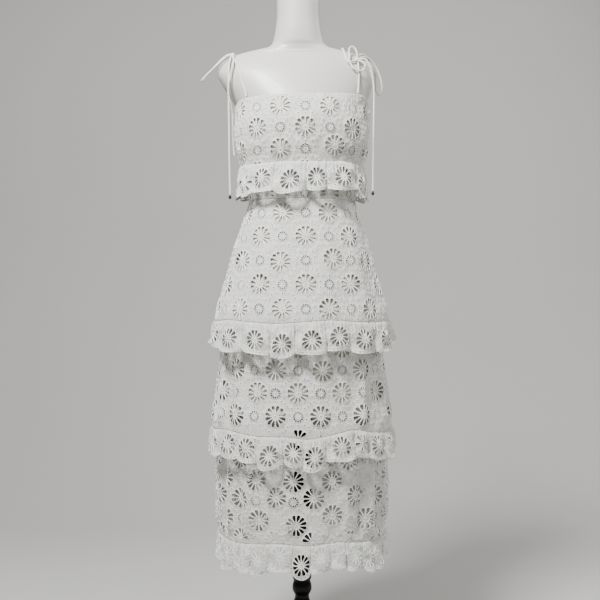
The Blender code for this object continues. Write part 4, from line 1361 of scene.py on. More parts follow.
    def build(self, side: Side) -> bpy.types.Object:
        u, along, deep = self.unrolled(side)
        total = float(along[-1])
        border, hem = self.border(along, deep)
        width = float(-border[:, 1].min())
        fine = spread(0.0, total, self.TOP_STEP)
        gathers = [np.stack([fine, np.full(len(fine), -fall)], axis=1)
                   for fall in self.GATHER_ROWS]
        grid = np.stack(np.meshgrid(spread(0.0, total, self.STEP * 0.5),
                                    spread(-width, -self.GRID_FROM, self.STEP)),
                        axis=2).reshape(-1, 2)
        grid = grid[grid[:, 1] > self.HEM_CLEAR - np.interp(grid[:, 0], along, deep)]
        flat = FlatLace(border, self.rings(side, u, along, deep),
                        np.concatenate([border[:hem] + (0, self.HEM_BAND), *gathers, grid]),
                        hem=hem)

        def lay(points: np.ndarray, height: np.ndarray) -> np.ndarray:
            c, fall = points[:, 0], -points[:, 1]
            place = np.interp(c, along, u)
            t = np.clip(fall / np.interp(c, along, deep), 0.0, 1.0)
            middle, out = self.shape(place, t, side)
            sides = (self.shape(place + self.SLOPE_ACROSS, t, side)[0]
                     - self.shape(place - self.SLOPE_ACROSS, t, side)[0])
            downs = (self.shape(place, np.minimum(t + self.SLOPE_DOWN, 1.0), side)[0]
                     - self.shape(place, np.maximum(t - self.SLOPE_DOWN, 0.0), side)[0])
            normal = np.cross(sides, downs)
            normal /= np.linalg.norm(normal, axis=1, keepdims=True)
            normal *= np.sign((normal * out).sum(axis=1))[:, None]
            away, lift = self.crumpled(c, fall)
            middle[:, 2] += lift
            return middle + normal * height[:, None] + out * away[:, None]

        obj = lace_mesh(f"lace_{self.name}_{side.value}", flat, lay, self.THICKNESS,
                        self.HEM_HEIGHT)
        settle(obj, "lace", f"{self.name}_{side.value}")
        list(self.rests_on[side])
        flat_area(border)
        log.info("%s: %d holes, cut %.3f x %.3f m", obj.name, len(flat.rings), total, width)
        return obj


BUST_FOLDS = {
    Side.FRONT: (
        Fold(-0.190, 0.8, 0.002, -0.002), Fold(-0.152, 0.9, -0.003, 0.002),
        Fold(-0.116, 1.0, 0.003, -0.006), Fold(-0.062, 1.1, -0.002, 0.001),
        Fold(0.010, 0.9, 0.002, -0.005), Fold(0.053, 1.1, 0.004, -0.007),
        Fold(0.128, 0.9, -0.002, 0.001), Fold(0.180, 0.8),
    ),
    Side.BACK: (
        Fold(-0.172, 0.9, 0.002, -0.003), Fold(-0.120, 1.0, -0.004, 0.002),
        Fold(-0.055, 0.9, 0.003, -0.004), Fold(0.005, 1.1, 0.002, 0.003),
        Fold(0.062, 0.9, -0.003, -0.002), Fold(0.118, 1.0, 0.002, 0.002), Fold(0.176, 0.8),
    ),
}
UPPER_FOLDS = {
    Side.FRONT: (
        Fold(-0.258, 0.9, 0.002, -0.002), Fold(-0.198, 1.0, -0.003, 0.002),
        Fold(-0.133, 1.1, 0.004, -0.003), Fold(-0.069, 1.0, -0.002, 0.004),
        Fold(-0.015, 1.1, 0.002, -0.001), Fold(0.054, 0.8, -0.004, -0.007),
        Fold(0.106, 1.0, 0.003, -0.002), Fold(0.167, 1.1, -0.002, 0.002), Fold(0.240, 0.9),
    ),
    Side.BACK: (
        Fold(-0.262, 0.9, 0.002, 0.001), Fold(-0.196, 1.1, 0.003, -0.004),
        Fold(-0.138, 0.9, -0.003, 0.002), Fold(-0.066, 1.0, 0.002, -0.005),
        Fold(-0.004, 0.9, -0.002, 0.002), Fold(0.063, 1.1, 0.004, -0.002),
        Fold(0.120, 0.8, -0.003, -0.004), Fold(0.190, 1.0, 0.002, 0.002), Fold(0.256, 0.9),
    ),
}
MIDDLE_FOLDS = {
    Side.FRONT: (
        Fold(-0.268, 0.9, 0.003, 0.002), Fold(-0.196, 0.9, -0.003, -0.002),
        Fold(-0.146, 0.9, 0.002, -0.004), Fold(-0.098, 1.0, -0.002, 0.005),
        Fold(-0.040, 0.9, 0.003, -0.004), Fold(0.002, 1.2, -0.003, 0.003),
        Fold(0.052, 1.0, 0.004, -0.007), Fold(0.115, 0.8, -0.002, -0.006),
        Fold(0.152, 0.9, 0.003, -0.001), Fold(0.204, 1.0, -0.003, 0.003), Fold(0.266, 0.9),
    ),
    Side.BACK: (
        Fold(-0.272, 0.9, 0.002, 0.002), Fold(-0.214, 1.0, 0.003, -0.004),
        Fold(-0.150, 1.1, -0.004, 0.002), Fold(-0.094, 0.9, 0.003, -0.005),
        Fold(-0.032, 1.0, -0.002, 0.004), Fold(0.026, 0.9, 0.002, -0.002),
        Fold(0.092, 1.1, -0.003, 0.002), Fold(0.148, 0.9, 0.002, -0.004),
        Fold(0.206, 1.0, -0.002, 0.001), Fold(0.268, 0.9),
    ),
}
HEM_FOLDS = {
    Side.FRONT: (
        Fold(-0.262, 0.9, 0.002, -0.004), Fold(-0.205, 1.0, -0.003, 0.003),
        Fold(-0.148, 0.9, 0.002, -0.003), Fold(-0.114, 0.9, -0.002, 0.003),
        Fold(-0.073, 1.1, 0.003, -0.008), Fold(-0.022, 0.9, 0.001, 0.006),
        Fold(0.018, 1.0, -0.003, -0.008), Fold(0.062, 0.9, 0.002, -0.010),
        Fold(0.096, 1.0, -0.002, -0.006), Fold(0.133, 0.9, 0.002, 0.001),
        Fold(0.170, 1.0, -0.003, 0.003), Fold(0.212, 0.9, 0.002, -0.004), Fold(0.264, 0.9),
    ),
    Side.BACK: (
        Fold(-0.266, 0.9, 0.002, 0.002), Fold(-0.216, 1.0, -0.003, -0.005),
        Fold(-0.160, 1.1, 0.003, 0.003), Fold(-0.108, 0.9, -0.002, -0.007),
        Fold(-0.060, 1.0, 0.002, 0.002), Fold(-0.006, 0.9, -0.003, -0.004),
        Fold(0.044, 1.1, 0.004, 0.004), Fold(0.098, 0.9, -0.002, -0.006),
        Fold(0.152, 1.0, 0.002, 0.002), Fold(0.204, 0.9, -0.002, -0.003), Fold(0.262, 0.9),
    ),
}


def under(*names: str) -> dict[Side, tuple[str, ...]]:
    """What a ruffle lies on, front and back."""
    return {side: tuple(f"{name}_{side.value}" for name in names) for side in Side}


RUFFLES = (
    Ruffle("bust_ruffle", BUST_SEAM, (0.073, 0.079, 0.073), 0.016, 0.009, 0.003, BUST_FOLDS,
           under("bodice")),
    Ruffle("ruffle_upper", UPPER_SEAM, (0.074, 0.050, 0.070), 0.018, 0.013, 0.002, UPPER_FOLDS,
           under("skirt_middle")),
    Ruffle("ruffle_middle", MIDDLE_SEAM, (0.066, 0.042, 0.062), 0.018, 0.009, 0.002,
           MIDDLE_FOLDS, under("skirt_lower")),
    Ruffle("ruffle_hem", HEM_SEAM, (0.066, 0.044, 0.062), 0.016, 0.007, 0.001, HEM_FOLDS,
           under("skirt_lower")),
)


def grid_faces(rows: int, columns: int, closed: bool = False) -> np.ndarray:
    """Four-sided faces of a grid of points, listed row by row.

    Args:
        rows: rows of points.
        columns: points in a row.
        closed: whether each row runs round to its start.

    Returns:
        The faces' point numbers.
    """
    i, j = np.meshgrid(np.arange(rows - 1), np.arange(columns if closed else columns - 1),
                       indexing="ij")
    a, b = i * columns + j, i * columns + (j + 1) % columns
    return np.stack([a, b, b + columns, a + columns], axis=2).reshape(-1, 4)


@dataclass
class Lining:
    """The plain lining inside the lace, neck edge to the second tier."""

    side: Side
    COLUMNS = 73
    ROWS = 90
    THICKNESS = 0.5 * MM
    # Rows are closer near the neck, where the lining eases in towards the lace.
    CLOSENESS = 1.15
    EASE_DEPTH = 0.03

    def build(self) -> bpy.types.Object:
        share = np.linspace(-1, 1, self.COLUMNS)
        down = np.linspace(0, 1, self.ROWS) ** self.CLOSENESS
        edge = TUBE.half_girth(BACK_TOP_Z, self.side)
        top = NECKS[self.side](share * edge) - LINING_DROP
        z = top + (LINING_HEM_Z - top) * down[:, None]
        u = (share * (TUBE.half_girth(z, self.side) - SEAM_GAP / 2)).ravel()
        eased_in = np.clip((top - z).ravel() / self.EASE_DEPTH, 0, 1)
        ease = LINING_NECK_EASE + (LINING_EASE - LINING_NECK_EASE) * eased_in
        place, normal = TUBE.read(u, z.ravel(), self.side)
        skins = [place - normal * (ease + way * self.THICKNESS / 2)[:, None] for way in (-1, 1)]
        # The lining's finish carries painted shade: its colour is darkened for where it shows through
        # the lace.
        obj = closed_piece(f"voile_lining_{self.side.value}", np.concatenate(skins),
                           closed_sheet(self.ROWS, self.COLUMNS), SHADED_LINING_VOILE, "lining",
                           f"lining_{self.side.value}")
        outline = np.concatenate([
            np.stack([share * TUBE.half_girth(LINING_HEM_Z, self.side),
                      np.full(self.COLUMNS, LINING_HEM_Z)], axis=1),
            np.stack([TUBE.half_girth(z[::-1, -1], self.side), z[::-1, -1]], axis=1),
            np.stack([share * edge, top], axis=1)[::-1],
            np.stack([-TUBE.half_girth(z[:, 0], self.side), z[:, 0]], axis=1)])
        size = outline.max(axis=0) - outline.min(axis=0)
        flat_area(outline)
        log.info("%s: cut %.3f x %.3f m", obj.name, size[0], size[1])
        return obj


class StitchRow:
    """Rows of even stitches along a line, repeated by a Geometry Nodes tree."""

    PITCH = 3.0 * MM
    LENGTH = 2.1 * MM
    THREAD = 0.45 * MM
    SEED = 7
    TREE = "stitch_row"

    @classmethod
    def tree(cls) -> bpy.types.NodeTree:
        """Make the tree that lays stitches along a mesh line, or find it."""
        known = bpy.data.node_groups.get(cls.TREE)
        if known:
            return known
        tree = bpy.data.node_groups.new(cls.TREE, "GeometryNodeTree")
        face = tree.interface
        face.new_socket("Geometry", in_out="INPUT", socket_type="NodeSocketGeometry")
        for name, value in (("Pitch", cls.PITCH), ("Length", cls.LENGTH), ("Thread", cls.THREAD)):
            socket = face.new_socket(name, in_out="INPUT", socket_type="NodeSocketFloat")
            socket.default_value = value
        socket = face.new_socket("Seed", in_out="INPUT", socket_type="NodeSocketInt")
        socket.default_value = cls.SEED
        face.new_socket("Finish", in_out="INPUT", socket_type="NodeSocketMaterial")
        face.new_socket("Geometry", in_out="OUTPUT", socket_type="NodeSocketGeometry")
        given = add_node(tree, "NodeGroupInput").outputs
        line = add_node(tree, "GeometryNodeMeshToCurve", Mesh=given["Geometry"])
        even = add_node(tree, "GeometryNodeResampleCurve", {"mode": "LENGTH"},
                        Curve=line.outputs["Curve"], Length=given["Pitch"])
        heading = add_node(tree, "GeometryNodeInputTangent")
        turn = add_node(tree, "FunctionNodeAlignRotationToVector", {"axis": "X"},
                        Vector=heading.outputs["Tangent"])
        vary = add_node(tree, "FunctionNodeRandomValue", {"data_type": "FLOAT"}, i2=0.8, i3=1.1,
                        Seed=given["Seed"])
        long = add_node(tree, "ShaderNodeMath", {"operation": "MULTIPLY"}, i0=given["Length"],
                        i1=vary.outputs[1])
        size = add_node(tree, "ShaderNodeCombineXYZ", X=long.outputs[0], Y=given["Thread"],
                        Z=given["Thread"])
        stitch = add_node(tree, "GeometryNodeMeshIcoSphere", Radius=0.5, Subdivisions=1)
        laid = add_node(tree, "GeometryNodeInstanceOnPoints", Points=even.outputs["Curve"],
                        Instance=stitch.outputs["Mesh"], Rotation=turn.outputs["Rotation"],
                        Scale=size.outputs["Vector"])
        real = add_node(tree, "GeometryNodeRealizeInstances", Geometry=laid.outputs["Instances"])
        done = add_node(tree, "GeometryNodeSetMaterial", Geometry=real.outputs["Geometry"],
                        Material=given["Finish"])
        last = add_node(tree, "NodeGroupOutput")
        tree.links.new(done.outputs["Geometry"], last.inputs[0])
        return tree

    @classmethod
    def build(cls, name: str, line: np.ndarray) -> bpy.types.Object:
        """Lay one row of stitches.

        Args:
            name: the row's name.
            line: points along the row, on the cloth.

        Returns:
            The stitches, as one plain mesh.
        """
        guide = bpy.data.meshes.new(f"{name}_line")
        guide.from_pydata(line.tolist(), [(i, i + 1) for i in range(len(line) - 1)], [])
        holder = bpy.data.objects.new(f"{name}_line", guide)
        bpy.context.scene.collection.objects.link(holder)
        tree = cls.tree()
        run = holder.modifiers.new("stitches", "NODES")
        run.node_group = tree
        keys = {item.name: item.identifier for item in tree.interface.items_tree
                if item.in_out == "INPUT"}
        run[keys["Finish"]] = SATIN_THREAD.material()
        run[keys["Pitch"]] = cls.PITCH
        bpy.context.view_layer.update()
        shaped = holder.evaluated_get(bpy.context.evaluated_depsgraph_get())
        mesh = bpy.data.meshes.new_from_object(shaped)
        mesh.name = name
        obj = bpy.data.objects.new(name, mesh)
        bpy.context.scene.collection.objects.link(obj)
        bpy.data.objects.remove(holder)
        return settle(obj, "lace")


def closed_sheet(rows: int, columns: int) -> list[list[int]]:
    """Faces of two like grids of points, joined round their edges."""
    count = rows * columns
    grid = grid_faces(rows, columns)
    numbers = np.arange(count).reshape(rows, columns)
    rim = np.concatenate([numbers[0], numbers[1:, -1], numbers[-1, -2::-1], numbers[-2:0:-1, 0]])
    after = np.roll(rim, -1)
    return np.concatenate([grid, grid[:, ::-1] + count,
                           np.stack([after, rim, rim + count, after + count], axis=1)]).tolist()


def capped_tube(rows: int, columns: int) -> list[list[int]]:
    """Faces of a tube of closed rings, with a cap on each end."""
    last = rows * columns
    return [*grid_faces(rows, columns, closed=True).tolist(),
            list(range(columns))[::-1], list(range(last - columns, last))]


def closed_piece(name: str, points: np.ndarray, faces: Sequence[Sequence[int]], finish: Finish,
                 slot: str, node: str) -> bpy.types.Object:
    """Make a closed piece of one finish, and let it stand for its solid.

    Args:
        name: the piece's name.
        points: vertex positions in metres.
        faces: vertex numbers of each face.
        finish: its surface.
        slot: the record's material slot.
        node: the solid it replaces.

    Returns:
        The piece.
    """
    obj = mesh_piece(name, points, faces, (finish,))
    face_out(obj)
    return settle(obj, slot, node)


class DressForm:
    """The limbless form: hips, bust, shoulders and neck in one smooth body.

    A fine groove runs round the root of the neck, where the neck is set on; it rises
    towards the back.
    """

    SIDES = 104
    RINGS = 120
    GROOVE_RINGS = np.linspace(1.420, 1.470, 56)
    GROOVE_Z = 1.4286
    GROOVE_Y = -0.047
    GROOVE_SLOPE = 0.32
    GROOVE_DEPTH = 1.3 * MM
    GROOVE_HALF = 1.1 * MM

    def build(self) -> bpy.types.Object:
        """Make the form's skin."""
        z = np.unique(np.concatenate([np.linspace(FORM[0].z, FORM[-1].z, self.RINGS),
                                      [row.z for row in FORM], self.GROOVE_RINGS]))
        columns = [column[:, None] for column in table_columns(FORM, z)]
        half_width, front, back, shift = columns
        angle = even_angles(self.SIDES)
        power = 2 / FORM_SQUARENESS
        across = half_width * blunted(np.cos(angle), power)
        y = np.where(np.sin(angle) > 0, back, front) * blunted(np.sin(angle), power)
        tall = np.broadcast_to(z[:, None], y.shape)
        away = tall - (self.GROOVE_Z + self.GROOVE_SLOPE * (y - self.GROOVE_Y))
        groove = self.GROOVE_DEPTH * np.exp(-(away / self.GROOVE_HALF) ** 2)
        shrink = 1 - groove / np.maximum(np.hypot(across, y), 0.01)
        points = np.stack([shift + across * shrink, y * shrink, tall], axis=2).reshape(-1, 3)
        return closed_piece("form_skin", points, capped_tube(len(z), self.SIDES), FORM_PAINT,
                            "form", "form_torso")


@dataclass
class Turning:
    """A piece turned from wood."""

    name: str
    node: str
    outline: tuple[Turn, ...]
    SIDES = 96
    SOFTENING = 1.2 * MM

    def build(self) -> bpy.types.Object:
        """Turn the outline round, with its edges softened."""
        rows = self.outline
        table = []
        for before, here, after in zip(rows[:1] + rows[:-1], rows, rows[1:] + rows[-1:]):
            for end in (before, after):
                reach = math.hypot(end.z - here.z, end.radius - here.radius)
                share = min(0.5, self.SOFTENING / reach) if reach else 0.0
                table.append((here.z + (end.z - here.z) * share,
                              here.radius + (end.radius - here.radius) * share))
        return closed_piece(self.name, turned(table, self.SIDES),
                            capped_tube(len(table), self.SIDES), BLACK_LACQUER, "black_wood",
                            self.node)


def turned(profile: Sequence[tuple[float, float]], sides: int) -> np.ndarray:
    """Rings of points round the Z axis.

    Args:
        profile: each ring's height and radius.
        sides: points in a ring.

    Returns:
        The points, ring by ring.
    """
    angle = even_angles(sides)
    ring = np.stack([np.cos(angle), np.sin(angle)], axis=1)
    return np.concatenate([np.concatenate([radius * ring, np.full((sides, 1), z)], axis=1)
                           for z, radius in profile])


KNOTS = {
    "knot_left": Knot((-0.1606, -0.0300, 1.4245), 5.5 * MM),
    "knot_right": Knot((0.1275, -0.0440, 1.4100), 5.5 * MM),
    "knot_right_small": Knot((0.1088, -0.0527, 1.4028), 4.5 * MM),
}


class Lie(NamedTuple):
    """A cord: the knots at its ends, how its far end is finished, and its points."""

    knots: tuple[str | None, str | None]
    far_end: str
    points: tuple[tuple[float, float, float], ...]


STRAPS = {
    "strap_front_left": Lie((None, "knot_left"), "", (
        (-0.1262, -0.0782, 1.3178), (-0.1300, -0.0735, 1.3330), (-0.1350, -0.0674, 1.3480),
        (-0.1430, -0.0600, 1.3765), (-0.1530, -0.0445, 1.4055), (-0.1587, -0.0321, 1.4192))),
    "strap_back_left": Lie(("knot_left", None), "", (
        (-0.1606, -0.0248, 1.4276), (-0.1600, -0.0120, 1.4305), (-0.1598, 0.0000, 1.4310),
        (-0.1590, 0.0200, 1.4282), (-0.1573, 0.0345, 1.4233), (-0.1546, 0.0540, 1.4060),
        (-0.1436, 0.0680, 1.3647), (-0.1350, 0.0700, 1.3420), (-0.1265, 0.0705, 1.3190),
        (-0.1130, 0.0765, 1.2900), (-0.1045, 0.0850, 1.2750), (-0.1005, 0.0893, 1.2666))),
    "strap_front_right": Lie((None, "knot_right"), "", (
        (0.1265, -0.0776, 1.3256), (0.1280, -0.0705, 1.3400), (0.1300, -0.0590, 1.3590),
        (0.1305, -0.0522, 1.3809), (0.1293, -0.0440, 1.4043))),
    "strap_link_right": Lie(("knot_right_small", "knot_right"), "", (
        (0.1131, -0.0507, 1.4045), (0.1224, -0.0464, 1.4080))),
    "strap_back_right": Lie(("knot_right_small", None), "", (
        (0.1046, -0.0504, 1.4042), (0.1005, -0.0440, 1.4180), (0.0960, -0.0320, 1.4350),
        (0.0940, -0.0150, 1.4430), (0.0935, 0.0000, 1.4450), (0.0935, 0.0160, 1.4440),
        (0.0940, 0.0310, 1.4400), (0.0960, 0.0500, 1.4260), (0.0995, 0.0680, 1.3980),
        (0.1022, 0.0745, 1.3757), (0.1046, 0.0765, 1.3300), (0.1035, 0.0780, 1.3000),
        (0.1015, 0.0840, 1.2780), (0.1005, 0.0893, 1.2662))),
}
TIES = {
    "tie_left_long": Lie(("knot_left", None), "fitting", (
        (-0.1642, -0.0335, 1.4214), (-0.1668, -0.0400, 1.4110), (-0.1680, -0.0450, 1.3950),
        (-0.1690, -0.0475, 1.3750), (-0.1692, -0.0475, 1.3500), (-0.1690, -0.0465, 1.3100),
        (-0.1685, -0.0455, 1.2600), (-0.1680, -0.0450, 1.2100), (-0.1672, -0.0445, 1.1500),
        (-0.1660, -0.0440, 1.0985))),
    "tie_left_short": Lie(("knot_left", None), "bare", (
        (-0.1598, -0.0354, 1.4221), (-0.1580, -0.0440, 1.4110), (-0.1590, -0.0510, 1.3960),
        (-0.1650, -0.0550, 1.3720), (-0.1687, -0.0565, 1.3500), (-0.1695, -0.0560, 1.3340),
        (-0.1662, -0.0525, 1.3150), (-0.1624, -0.0450, 1.2990), (-0.1608, -0.0380, 1.2830),
        (-0.1612, -0.0340, 1.2510), (-0.1592, -0.0330, 1.2120), (-0.1566, -0.0330, 1.1890))),
    "loop_left": Lie(("knot_left", "knot_left"), "object", (
        (-0.1653, -0.0273, 1.4270), (-0.1760, -0.0215, 1.4250), (-0.1890, -0.0160, 1.4160),
        (-0.2040, -0.0115, 1.4015), (-0.2180, -0.0085, 1.3865), (-0.2280, -0.0076, 1.3755),
        (-0.2335, -0.0100, 1.3690), (-0.2352, -0.0150, 1.3670), (-0.2325, -0.0200, 1.3695),
        (-0.2255, -0.0226, 1.3765), (-0.2130, -0.0232, 1.3885), (-0.1960, -0.0250, 1.4040),
        (-0.1800, -0.0290, 1.4170), (-0.1661, -0.0318, 1.4257))),
    "tie_right_long": Lie(("knot_right", None), "fitting", (
        (0.1331, -0.0446, 1.4118), (0.1458, -0.0450, 1.4110), (0.1530, -0.0450, 1.4020),
        (0.1597, -0.0450, 1.3850), (0.1632, -0.0450, 1.3650), (0.1655, -0.0450, 1.3420),
        (0.1658, -0.0450, 1.3070), (0.1652, -0.0450, 1.2650), (0.1645, -0.0450, 1.2260),
        (0.1638, -0.0450, 1.1700), (0.1632, -0.0450, 1.1070))),
    "loop_right_up": Lie(("knot_right_small", "knot_right"), "object", (
        (0.1088, -0.0519, 1.4077), (0.1088, -0.0455, 1.4210), (0.1088, -0.0400, 1.4350),
        (0.1150, -0.0375, 1.4425), (0.1235, -0.0385, 1.4360), (0.1270, -0.0415, 1.4250),
        (0.1275, -0.0440, 1.4160))),
    "loop_right_ring": Lie(("knot_right_small", "knot_right"), "object", (
        (0.1111, -0.0559, 1.3998), (0.1165, -0.0595, 1.3890), (0.1250, -0.0595, 1.3835),
        (0.1350, -0.0575, 1.3815), (0.1430, -0.0540, 1.3880), (0.1445, -0.0520, 1.3980),
        (0.1380, -0.0520, 1.4040), (0.1314, -0.0475, 1.4070))),
    "loop_right_outer": Lie(("knot_right", "knot_right"), "object", (
        (0.1306, -0.0397, 1.4128), (0.1440, -0.0240, 1.4210), (0.1600, -0.0060, 1.4195),
        (0.1750, 0.0040, 1.4020), (0.1850, 0.0080, 1.3790), (0.1885, 0.0100, 1.3600),
        (0.1880, 0.0113, 1.3500), (0.1850, 0.0128, 1.3425), (0.1805, 0.0143, 1.3410),
        (0.1765, 0.0158, 1.3460), (0.1747, 0.0172, 1.3560), (0.1742, 0.0180, 1.3720),
        (0.1730, 0.0160, 1.3920), (0.1645, 0.0090, 1.4110), (0.1500, -0.0060, 1.4270),
        (0.1360, -0.0240, 1.4270), (0.1259, -0.0397, 1.4140))),
}
BEADS = {"tie_left_long": "bead_left", "tie_right_long": "bead_right"}


class Cord:
    """A rouleau cord: a bias tube turned through, with a seam that winds slowly round it."""

    DIAMETER = 4.0 * MM
    STEP = 1.5 * MM
    SIDES = 16
    SEAM_DEPTH = 0.22 * MM
    SEAM_SPREAD = 0.3
    WIND = 46.0 * MM
    SLUB = 0.03
    SLUB_LENGTHS = (5.3 * MM, 11 * MM)
    SMOOTHING = 16
    SINK = 1.2 * MM
    SINK_STEPS = 6
    TIP = ((0.8,), (0.45,))

    def __init__(self, name: str, lie: Lie) -> None:
        """Work out the cord's middle line.

        Args:
            name: the cord's name.
            lie: how it lies.
        """
        self.name = name
        self.lie = lie
        fine = self._smooth(np.array(lie.points))
        along = run_along(fine)
        count = max(8, int(round(along[-1] / self.STEP)))
        self.along = np.linspace(0, along[-1], count + 1)
        self.route = np.stack([np.interp(self.along, along, fine[:, k]) for k in range(3)], axis=1)
        self._sink_ends()

    def _smooth(self, points: np.ndarray) -> np.ndarray:
        """A smooth curve through the points."""
        padded = np.concatenate([points[:1], points, points[-1:]])
        t = (np.arange(self.SMOOTHING) / self.SMOOTHING)[:, None]
        fine = []
        for before, start, end, after in zip(padded, padded[1:], padded[2:], padded[3:]):
            fine.append(0.5 * (2 * start + (end - before) * t
                               + (2 * before - 5 * start + 4 * end - after) * t**2
                               + (3 * start - before - 3 * end + after) * t**3))
        return np.concatenate(fine + [points[-1:]])

    def _sink_ends(self) -> None:
        """Run each end that meets a knot a little way into it."""
        for end, step, knot in ((0, 1, self.lie.knots[0]), (-1, -1, self.lie.knots[1])):
            if not knot:
                continue
            centre = np.array(KNOTS[knot].centre)
            clear = KNOTS[knot].radius - self.SINK
            away = self.route[end] - centre
            target = centre + away / np.linalg.norm(away) * clear
            shift = target - self.route[end]
            for k in range(self.SINK_STEPS):
                self.route[end + step * k] += shift * (1 - k / self.SINK_STEPS)

    def build(self) -> bpy.types.Object:
        """Make the cord's skin."""
        tangent = np.gradient(self.route, axis=0)
        tangent /= np.linalg.norm(tangent, axis=1, keepdims=True)
        side = np.zeros_like(self.route)
        start = np.cross(tangent[0], (0.0, 0.0, 1.0))
        if np.linalg.norm(start) < 0.1:
            start = np.cross(tangent[0], (0.0, 1.0, 0.0))
        side[0] = start / np.linalg.norm(start)
        for k in range(1, len(side)):
            turned_side = side[k - 1] - tangent[k] * np.dot(side[k - 1], tangent[k])
            side[k] = turned_side / np.linalg.norm(turned_side)
        up = np.cross(tangent, side)
        angle = even_angles(self.SIDES)
        wind = 2 * math.pi * self.along / self.WIND
        off_seam = np.angle(np.exp(1j * (angle - wind[:, None])))
        seam = np.exp(-(off_seam / self.SEAM_SPREAD) ** 2)
        first, second = self.SLUB_LENGTHS
        slub = 1 + self.SLUB * np.sin(self.along / first) * np.sin(self.along / second)
        radius = (self.DIAMETER / 2 * slub)[:, None] - self.SEAM_DEPTH * seam
        if not self.lie.knots[1] and self.name not in BEADS:
            radius[-2:] *= np.array(self.TIP)
        points = self.route[:, None, :] + radius[:, :, None] * (
            np.cos(angle)[:, None] * side[:, None, :] + np.sin(angle)[:, None] * up[:, None, :])
        return closed_piece(f"cord_{self.name}", points.reshape(-1, 3),
                            capped_tube(len(points), self.SIDES), CORD_COTTON, "cord", self.name)

    def length(self) -> float:
        """The cord's length."""
        return float(run_along(self.route)[-1])


class WrappedKnot:
    """An overhand knot of the same cord: three turns drawn tight round a core."""

    SIDES = 14
    AROUND = 28
    CORE = 0.78
    TUBE_RADIUS = 0.38
    WAVE = 0.10
    # Each turn's spin and tilt in radians, and its radius as a share of the knot's.
    TURNS = ((0.0, 0.2, 0.60), (1.0, 0.9, 0.56), (2.1, -0.7, 0.58))

    def __init__(self, name: str, knot: Knot) -> None:
        """Take the knot's name and place."""
        self.name = name
        self.knot = knot

    def build(self) -> bpy.types.Object:
        """Make the knot: a core and three turns, as one closed skin each."""
        work = bmesh.new()
        bmesh.ops.create_icosphere(work, subdivisions=3, radius=self.knot.radius * self.CORE)
        centre = Vector(self.knot.centre)
        for vert in work.verts:
            vert.co += centre
        for spin, tilt, size in self.TURNS:
            self._add_turn(work, centre, spin, tilt, size * self.knot.radius)
        mesh = bpy.data.meshes.new(self.name)
        work.to_mesh(mesh)
        work.free()
        mesh.materials.append(CORD_COTTON.material())
        mesh.polygons.foreach_set("use_smooth", np.full(len(mesh.polygons), True))
        obj = bpy.data.objects.new(f"tied_{self.name}", mesh)
        bpy.context.scene.collection.objects.link(obj)
        return settle(obj, "cord", self.name)

    def _add_turn(self, work: bmesh.types.BMesh, centre: Vector, spin: float, tilt: float,
                  size: float) -> None:
        """Add one ring of cord round the core."""
        tube = self.TUBE_RADIUS * self.knot.radius
        axis = Vector((math.sin(tilt) * math.cos(spin), math.sin(tilt) * math.sin(spin),
                       math.cos(tilt)))
        first = axis.orthogonal().normalized()
        second = axis.cross(first)
        rings = []
        for angle in even_angles(self.AROUND):
            out = first * math.cos(angle) + second * math.sin(angle)
            wave = self.WAVE * self.knot.radius * math.sin(2 * angle + spin)
            rings.append([work.verts.new(centre + out * (size + tube * math.cos(a))
                                         + axis * (tube * math.sin(a) + wave))
                          for a in even_angles(self.SIDES)])
        for here, after in zip(rings, rings[1:] + rings[:1]):
            for k in range(self.SIDES):
                work.faces.new((here[k], after[k], after[(k + 1) % self.SIDES],
                                here[(k + 1) % self.SIDES]))


class Bead:
    """A turned bead on the end of a tie."""

    LENGTH = 9.5 * MM
    RADIUS = 3.4 * MM
    SIDES = 32
    PROFILE = ((0.0, 0.42), (0.02, 0.56), (0.12, 0.80), (0.25, 0.97), (0.40, 1.0), (0.60, 1.0),
               (0.75, 0.97), (0.88, 0.80), (0.98, 0.54), (1.0, 0.40))

    def __init__(self, name: str, end: Sequence[float]) -> None:
        """Take the bead's name and where its tie ends."""
        self.name = name
        self.end = end

    def build(self) -> bpy.types.Object:
        """Turn the bead."""
        points = turned([(self.end[2] - SEAM_GAP - down * self.LENGTH, girth * self.RADIUS)
                         for down, girth in self.PROFILE], self.SIDES)
        points[:, :2] += self.end[:2]
        return closed_piece(f"turned_{self.name}", points,
                            capped_tube(len(self.PROFILE), self.SIDES), DARK_BEAD, "bead",
                            self.name)


def creased(foot: float, rows: Sequence[tuple[float, ...]]) -> tuple[Crease, ...]:
    """A tier's creases, which all end at one height; each row is a Crease without its bottom."""
    return tuple(Crease(u, top, foot, *rest) for u, top, *rest in rows)


